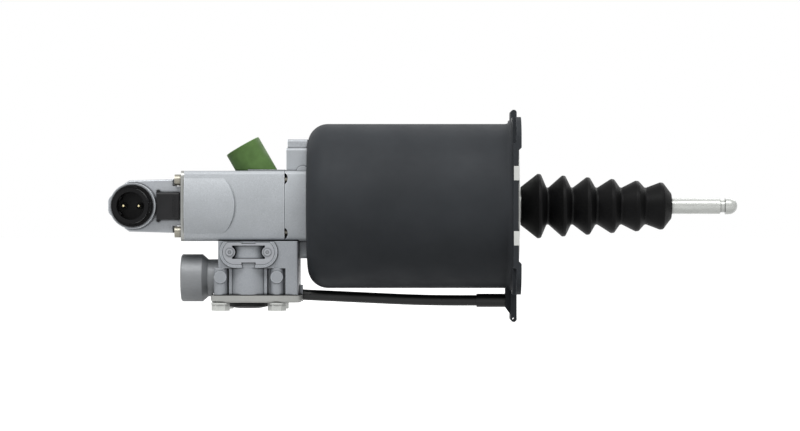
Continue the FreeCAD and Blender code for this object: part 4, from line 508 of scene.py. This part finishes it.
def boot_inside():
    """Inner line from the rod's grip back to the cover."""
    inner = [(BOOT_END - GRIP_BEVEL, BOOT_GRIP_RADIUS), (BOOT_END - BOOT_GRIP_LENGTH, BOOT_GRIP_RADIUS)]
    for index in reversed(range(BOOT_FOLDS)):
        crest = BOOT_FIRST_CREST + BOOT_PITCH * index
        if index < BOOT_FOLDS - 1:
            inner.append((crest + BOOT_VALLEY_AFTER_CREST, BOOT_VALLEY_RADIUS - BOOT_WALL))
        inner.append((crest, BOOT_CREST_RADIUS - BOOT_CREST_STEP * index - BOOT_WALL))
    return inner + [(NECK_END, BOOT_SEAT_RADIUS), (BOOT_START, BOOT_SEAT_RADIUS)]


def make_boot():
    """Rubber bellows in place of the CAD boot."""
    profile = rounded(*boot_outside()) + boot_inside()
    boot = new_piece("boot_rubber", lathe("boot_rubber", profile, BOOT_STEPS), "servo",
                     "boot_rubber")
    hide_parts("boot")
    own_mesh(boot)


def coil_rings(along, low, high, radius, wire, turns):
    """Rings of the wire's section, from the low end to the high end."""
    rings = []
    total = turns * COIL_STEPS
    start = low + wire + SPRING_GAP
    length = high - wire - SPRING_GAP - start
    for step in range(total + 1):
        angle = 2 * math.pi * step / COIL_STEPS
        ring = []
        for side in range(WIRE_SIDES):
            turn = 2 * math.pi * side / WIRE_SIDES
            reach = radius + wire * math.cos(turn)
            climb = start + length * step / total + wire * math.sin(turn)
            over, beside = reach * math.cos(angle), reach * math.sin(angle)
            if along == "X":
                ring.append((climb, -beside, over))
            else:
                ring.append((VALVE_X + over, beside, climb))
        rings.append(ring)
    return rings


def make_springs():
    """Coil springs in place of the CAD springs."""
    for name, joint, along, low, high, radius, wire, turns, stroke in SPRINGS:
        mesh = swept(name + "_coil", coil_rings(along, low, high, radius, wire, turns))
        for face in mesh.polygons:
            face.use_smooth = len(face.vertices) == 4
        coil = new_piece(name + "_coil", mesh, "servo", "spring_steel")
        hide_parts(name)
        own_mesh(coil)


# Moulded and machined detail

def make_port_thread():
    """Screw thread inside the air inlet."""
    rings = []
    total = THREAD_STEPS * THREAD_TURNS
    for step in range(total + 1):
        angle = 2 * math.pi * step / THREAD_STEPS
        fade = min(step, total - step, THREAD_FADE_STEPS) / THREAD_FADE_STEPS
        ring = []
        for along, rise in THREAD_PROFILE:
            radius = PORT_BORE + (rise * fade if rise < 0 else rise)
            x = PORT_FRONT + THREAD_START + THREAD_PITCH * (step / THREAD_STEPS + along * THREAD_FILL)
            ring.append((x, radius * math.sin(angle), PORT_HEIGHT + radius * math.cos(angle)))
        rings.append(ring)
    new_piece("port_thread", swept("port_thread", rings), "servo", "port_steel")


def arc_block(centre_angle, half_angle, inner, outer, front, back):
    """Rings of a curved block about the connector's axis; angles are in degrees from +X to +Z."""
    rings = []
    for step in range(ARC_BLOCK_STEPS + 1):
        angle = math.radians(centre_angle - half_angle + 2 * half_angle * step / ARC_BLOCK_STEPS)
        across, up = math.cos(angle), math.sin(angle)
        rings.append([
            (CONNECTOR_X + inner * across, front, inner * up),
            (CONNECTOR_X + outer * across, front, outer * up),
            (CONNECTOR_X + outer * across, back, outer * up),
            (CONNECTOR_X + inner * across, back, inner * up),
        ])
    return rings


def make_connector_detail():
    """Bayonet lugs outside the tube, keys and pin collars inside it."""
    for kind, angles, half_angle, inner, outer, front, back, bevel in CONNECTOR_BLOCKS:
        for number, angle in enumerate(angles):
            name = f"{kind}_{number}"
            mesh = swept(name, arc_block(angle, half_angle, inner, outer, front, back))
            new_piece(name, bevelled(mesh, bevel), "servo", "connector_plastic")
    for number, side in enumerate((-1, 1)):
        centre = CONNECTOR_X + side * PIN_SPACING
        rings = []
        for step in range(PIN_COLLAR_STEPS):
            angle = 2 * math.pi * step / PIN_COLLAR_STEPS
            across, up = math.cos(angle), math.sin(angle)
            rings.append([(centre + radius * across, y, radius * up) for radius, y in PIN_COLLAR])
        mesh = swept(f"pin_collar_{number}", rings, closed=True)
        new_piece(f"pin_collar_{number}", mesh, "servo", "connector_plastic")


def make_clip_detail():
    """Grip ribs on the connector's clip."""
    reach = CLIP_HALF_HEIGHT - CLIP_RIB_END_GAP
    for number in range(CLIP_RIBS):
        middle = CLIP_RIGHT - CLIP_RIB_FIRST - number * CLIP_RIB_PITCH
        rings = [[(middle + x, CLIP_FRONT + y, z) for x, y in CLIP_RIB_PROFILE] for z in (-reach, reach)]
        mesh = bevelled(swept(f"clip_rib_{number}", rings), CLIP_RIB_BEVEL)
        new_piece(f"clip_rib_{number}", mesh, "servo", "clip_plastic")


# Stage

def seen_rays(tree):
    """1 for camera, glossy and transmission rays, 0 for the light that bounces."""
    rays = tree.nodes.new("ShaderNodeLightPath")
    seen = rays.outputs["Is Camera Ray"]
    for kind in ("Is Glossy Ray", "Is Transmission Ray"):
        either = tree.nodes.new("ShaderNodeMath")
        either.operation = "MAXIMUM"
        tree.links.new(seen, either.inputs[0])
        tree.links.new(rays.outputs[kind], either.inputs[1])
        seen = either.outputs["Value"]
    return seen


def make_floor():
    """Grey paper that looks white, so that it throws little light back up."""
    mesh = bpy.data.meshes.new("floor")
    height = cad_box[0].z - FLOOR_DROP
    corners = [(x * FLOOR_REACH, y * FLOOR_REACH, height)
               for x, y in ((-1, -1), (1, -1), (1, 1), (-1, 1))]
    mesh.from_pydata(corners, [], [(0, 1, 2, 3)])
    floor = bpy.data.objects.new("floor", mesh)
    bpy.context.scene.collection.objects.link(floor)
    n = Nodes("floor_white")
    rough = n.around(n.noise(30.0, detail=4.0), 0.5, 0.05, 0.05)
    base = n.shader(FLOOR_GREY, rough, specular=0.1)
    base.inputs["Emission Color"].default_value = (1.0, 1.0, 1.0, 1.0)
    glow = n.levels(seen_rays(n.tree), 0.0, 1.0, 0.0, FLOOR_GLOW)
    n.link(glow, base.inputs["Emission Strength"])
    mesh.materials.append(n.material)


def make_world():
    """White surroundings that light the part less than they show."""
    world = bpy.data.worlds.new("studio")
    bpy.context.scene.world = world
    world.use_nodes = True
    tree = world.node_tree
    background = tree.nodes["Background"]
    background.inputs["Color"].default_value = (1.0, 1.0, 1.0, 1.0)
    strength = tree.nodes.new("ShaderNodeMapRange")
    strength.inputs["To Min"].default_value = WORLD_LIGHT
    strength.inputs["To Max"].default_value = 1.0
    tree.links.new(seen_rays(tree), strength.inputs["Value"])
    tree.links.new(strength.outputs["Result"], background.inputs["Strength"])


def make_lamps():
    for name, place, size, power in LAMPS:
        lamp = bpy.data.lights.new(name, "AREA")
        lamp.shape = "RECTANGLE"
        lamp.size, lamp.size_y = size
        lamp.energy = power
        piece = bpy.data.objects.new(name, lamp)
        piece.location = place
        aim = Vector(LAMP_AIM) - Vector(place)
        piece.rotation_euler = aim.to_track_quat("-Z", "Y").to_euler()
        bpy.context.scene.collection.objects.link(piece)


def make_camera():
    """Level camera square to the side."""
    camera = bpy.data.cameras.new("camera")
    camera.lens = CAMERA_LENS
    camera.sensor_width = CAMERA_SENSOR
    camera.clip_start = CAMERA_CLIP_START
    piece = bpy.data.objects.new("camera", camera)
    piece.location = CAMERA_PLACE
    piece.rotation_euler = (math.radians(90), 0, 0)
    bpy.context.scene.collection.objects.link(piece)
    bpy.context.scene.camera = piece


dress_nodes()
make_boot()
make_springs()
make_port_thread()
make_connector_detail()
make_clip_detail()
make_floor()
make_world()
make_lamps()
make_camera()
bpy.context.scene.view_settings.view_transform = "Standard"
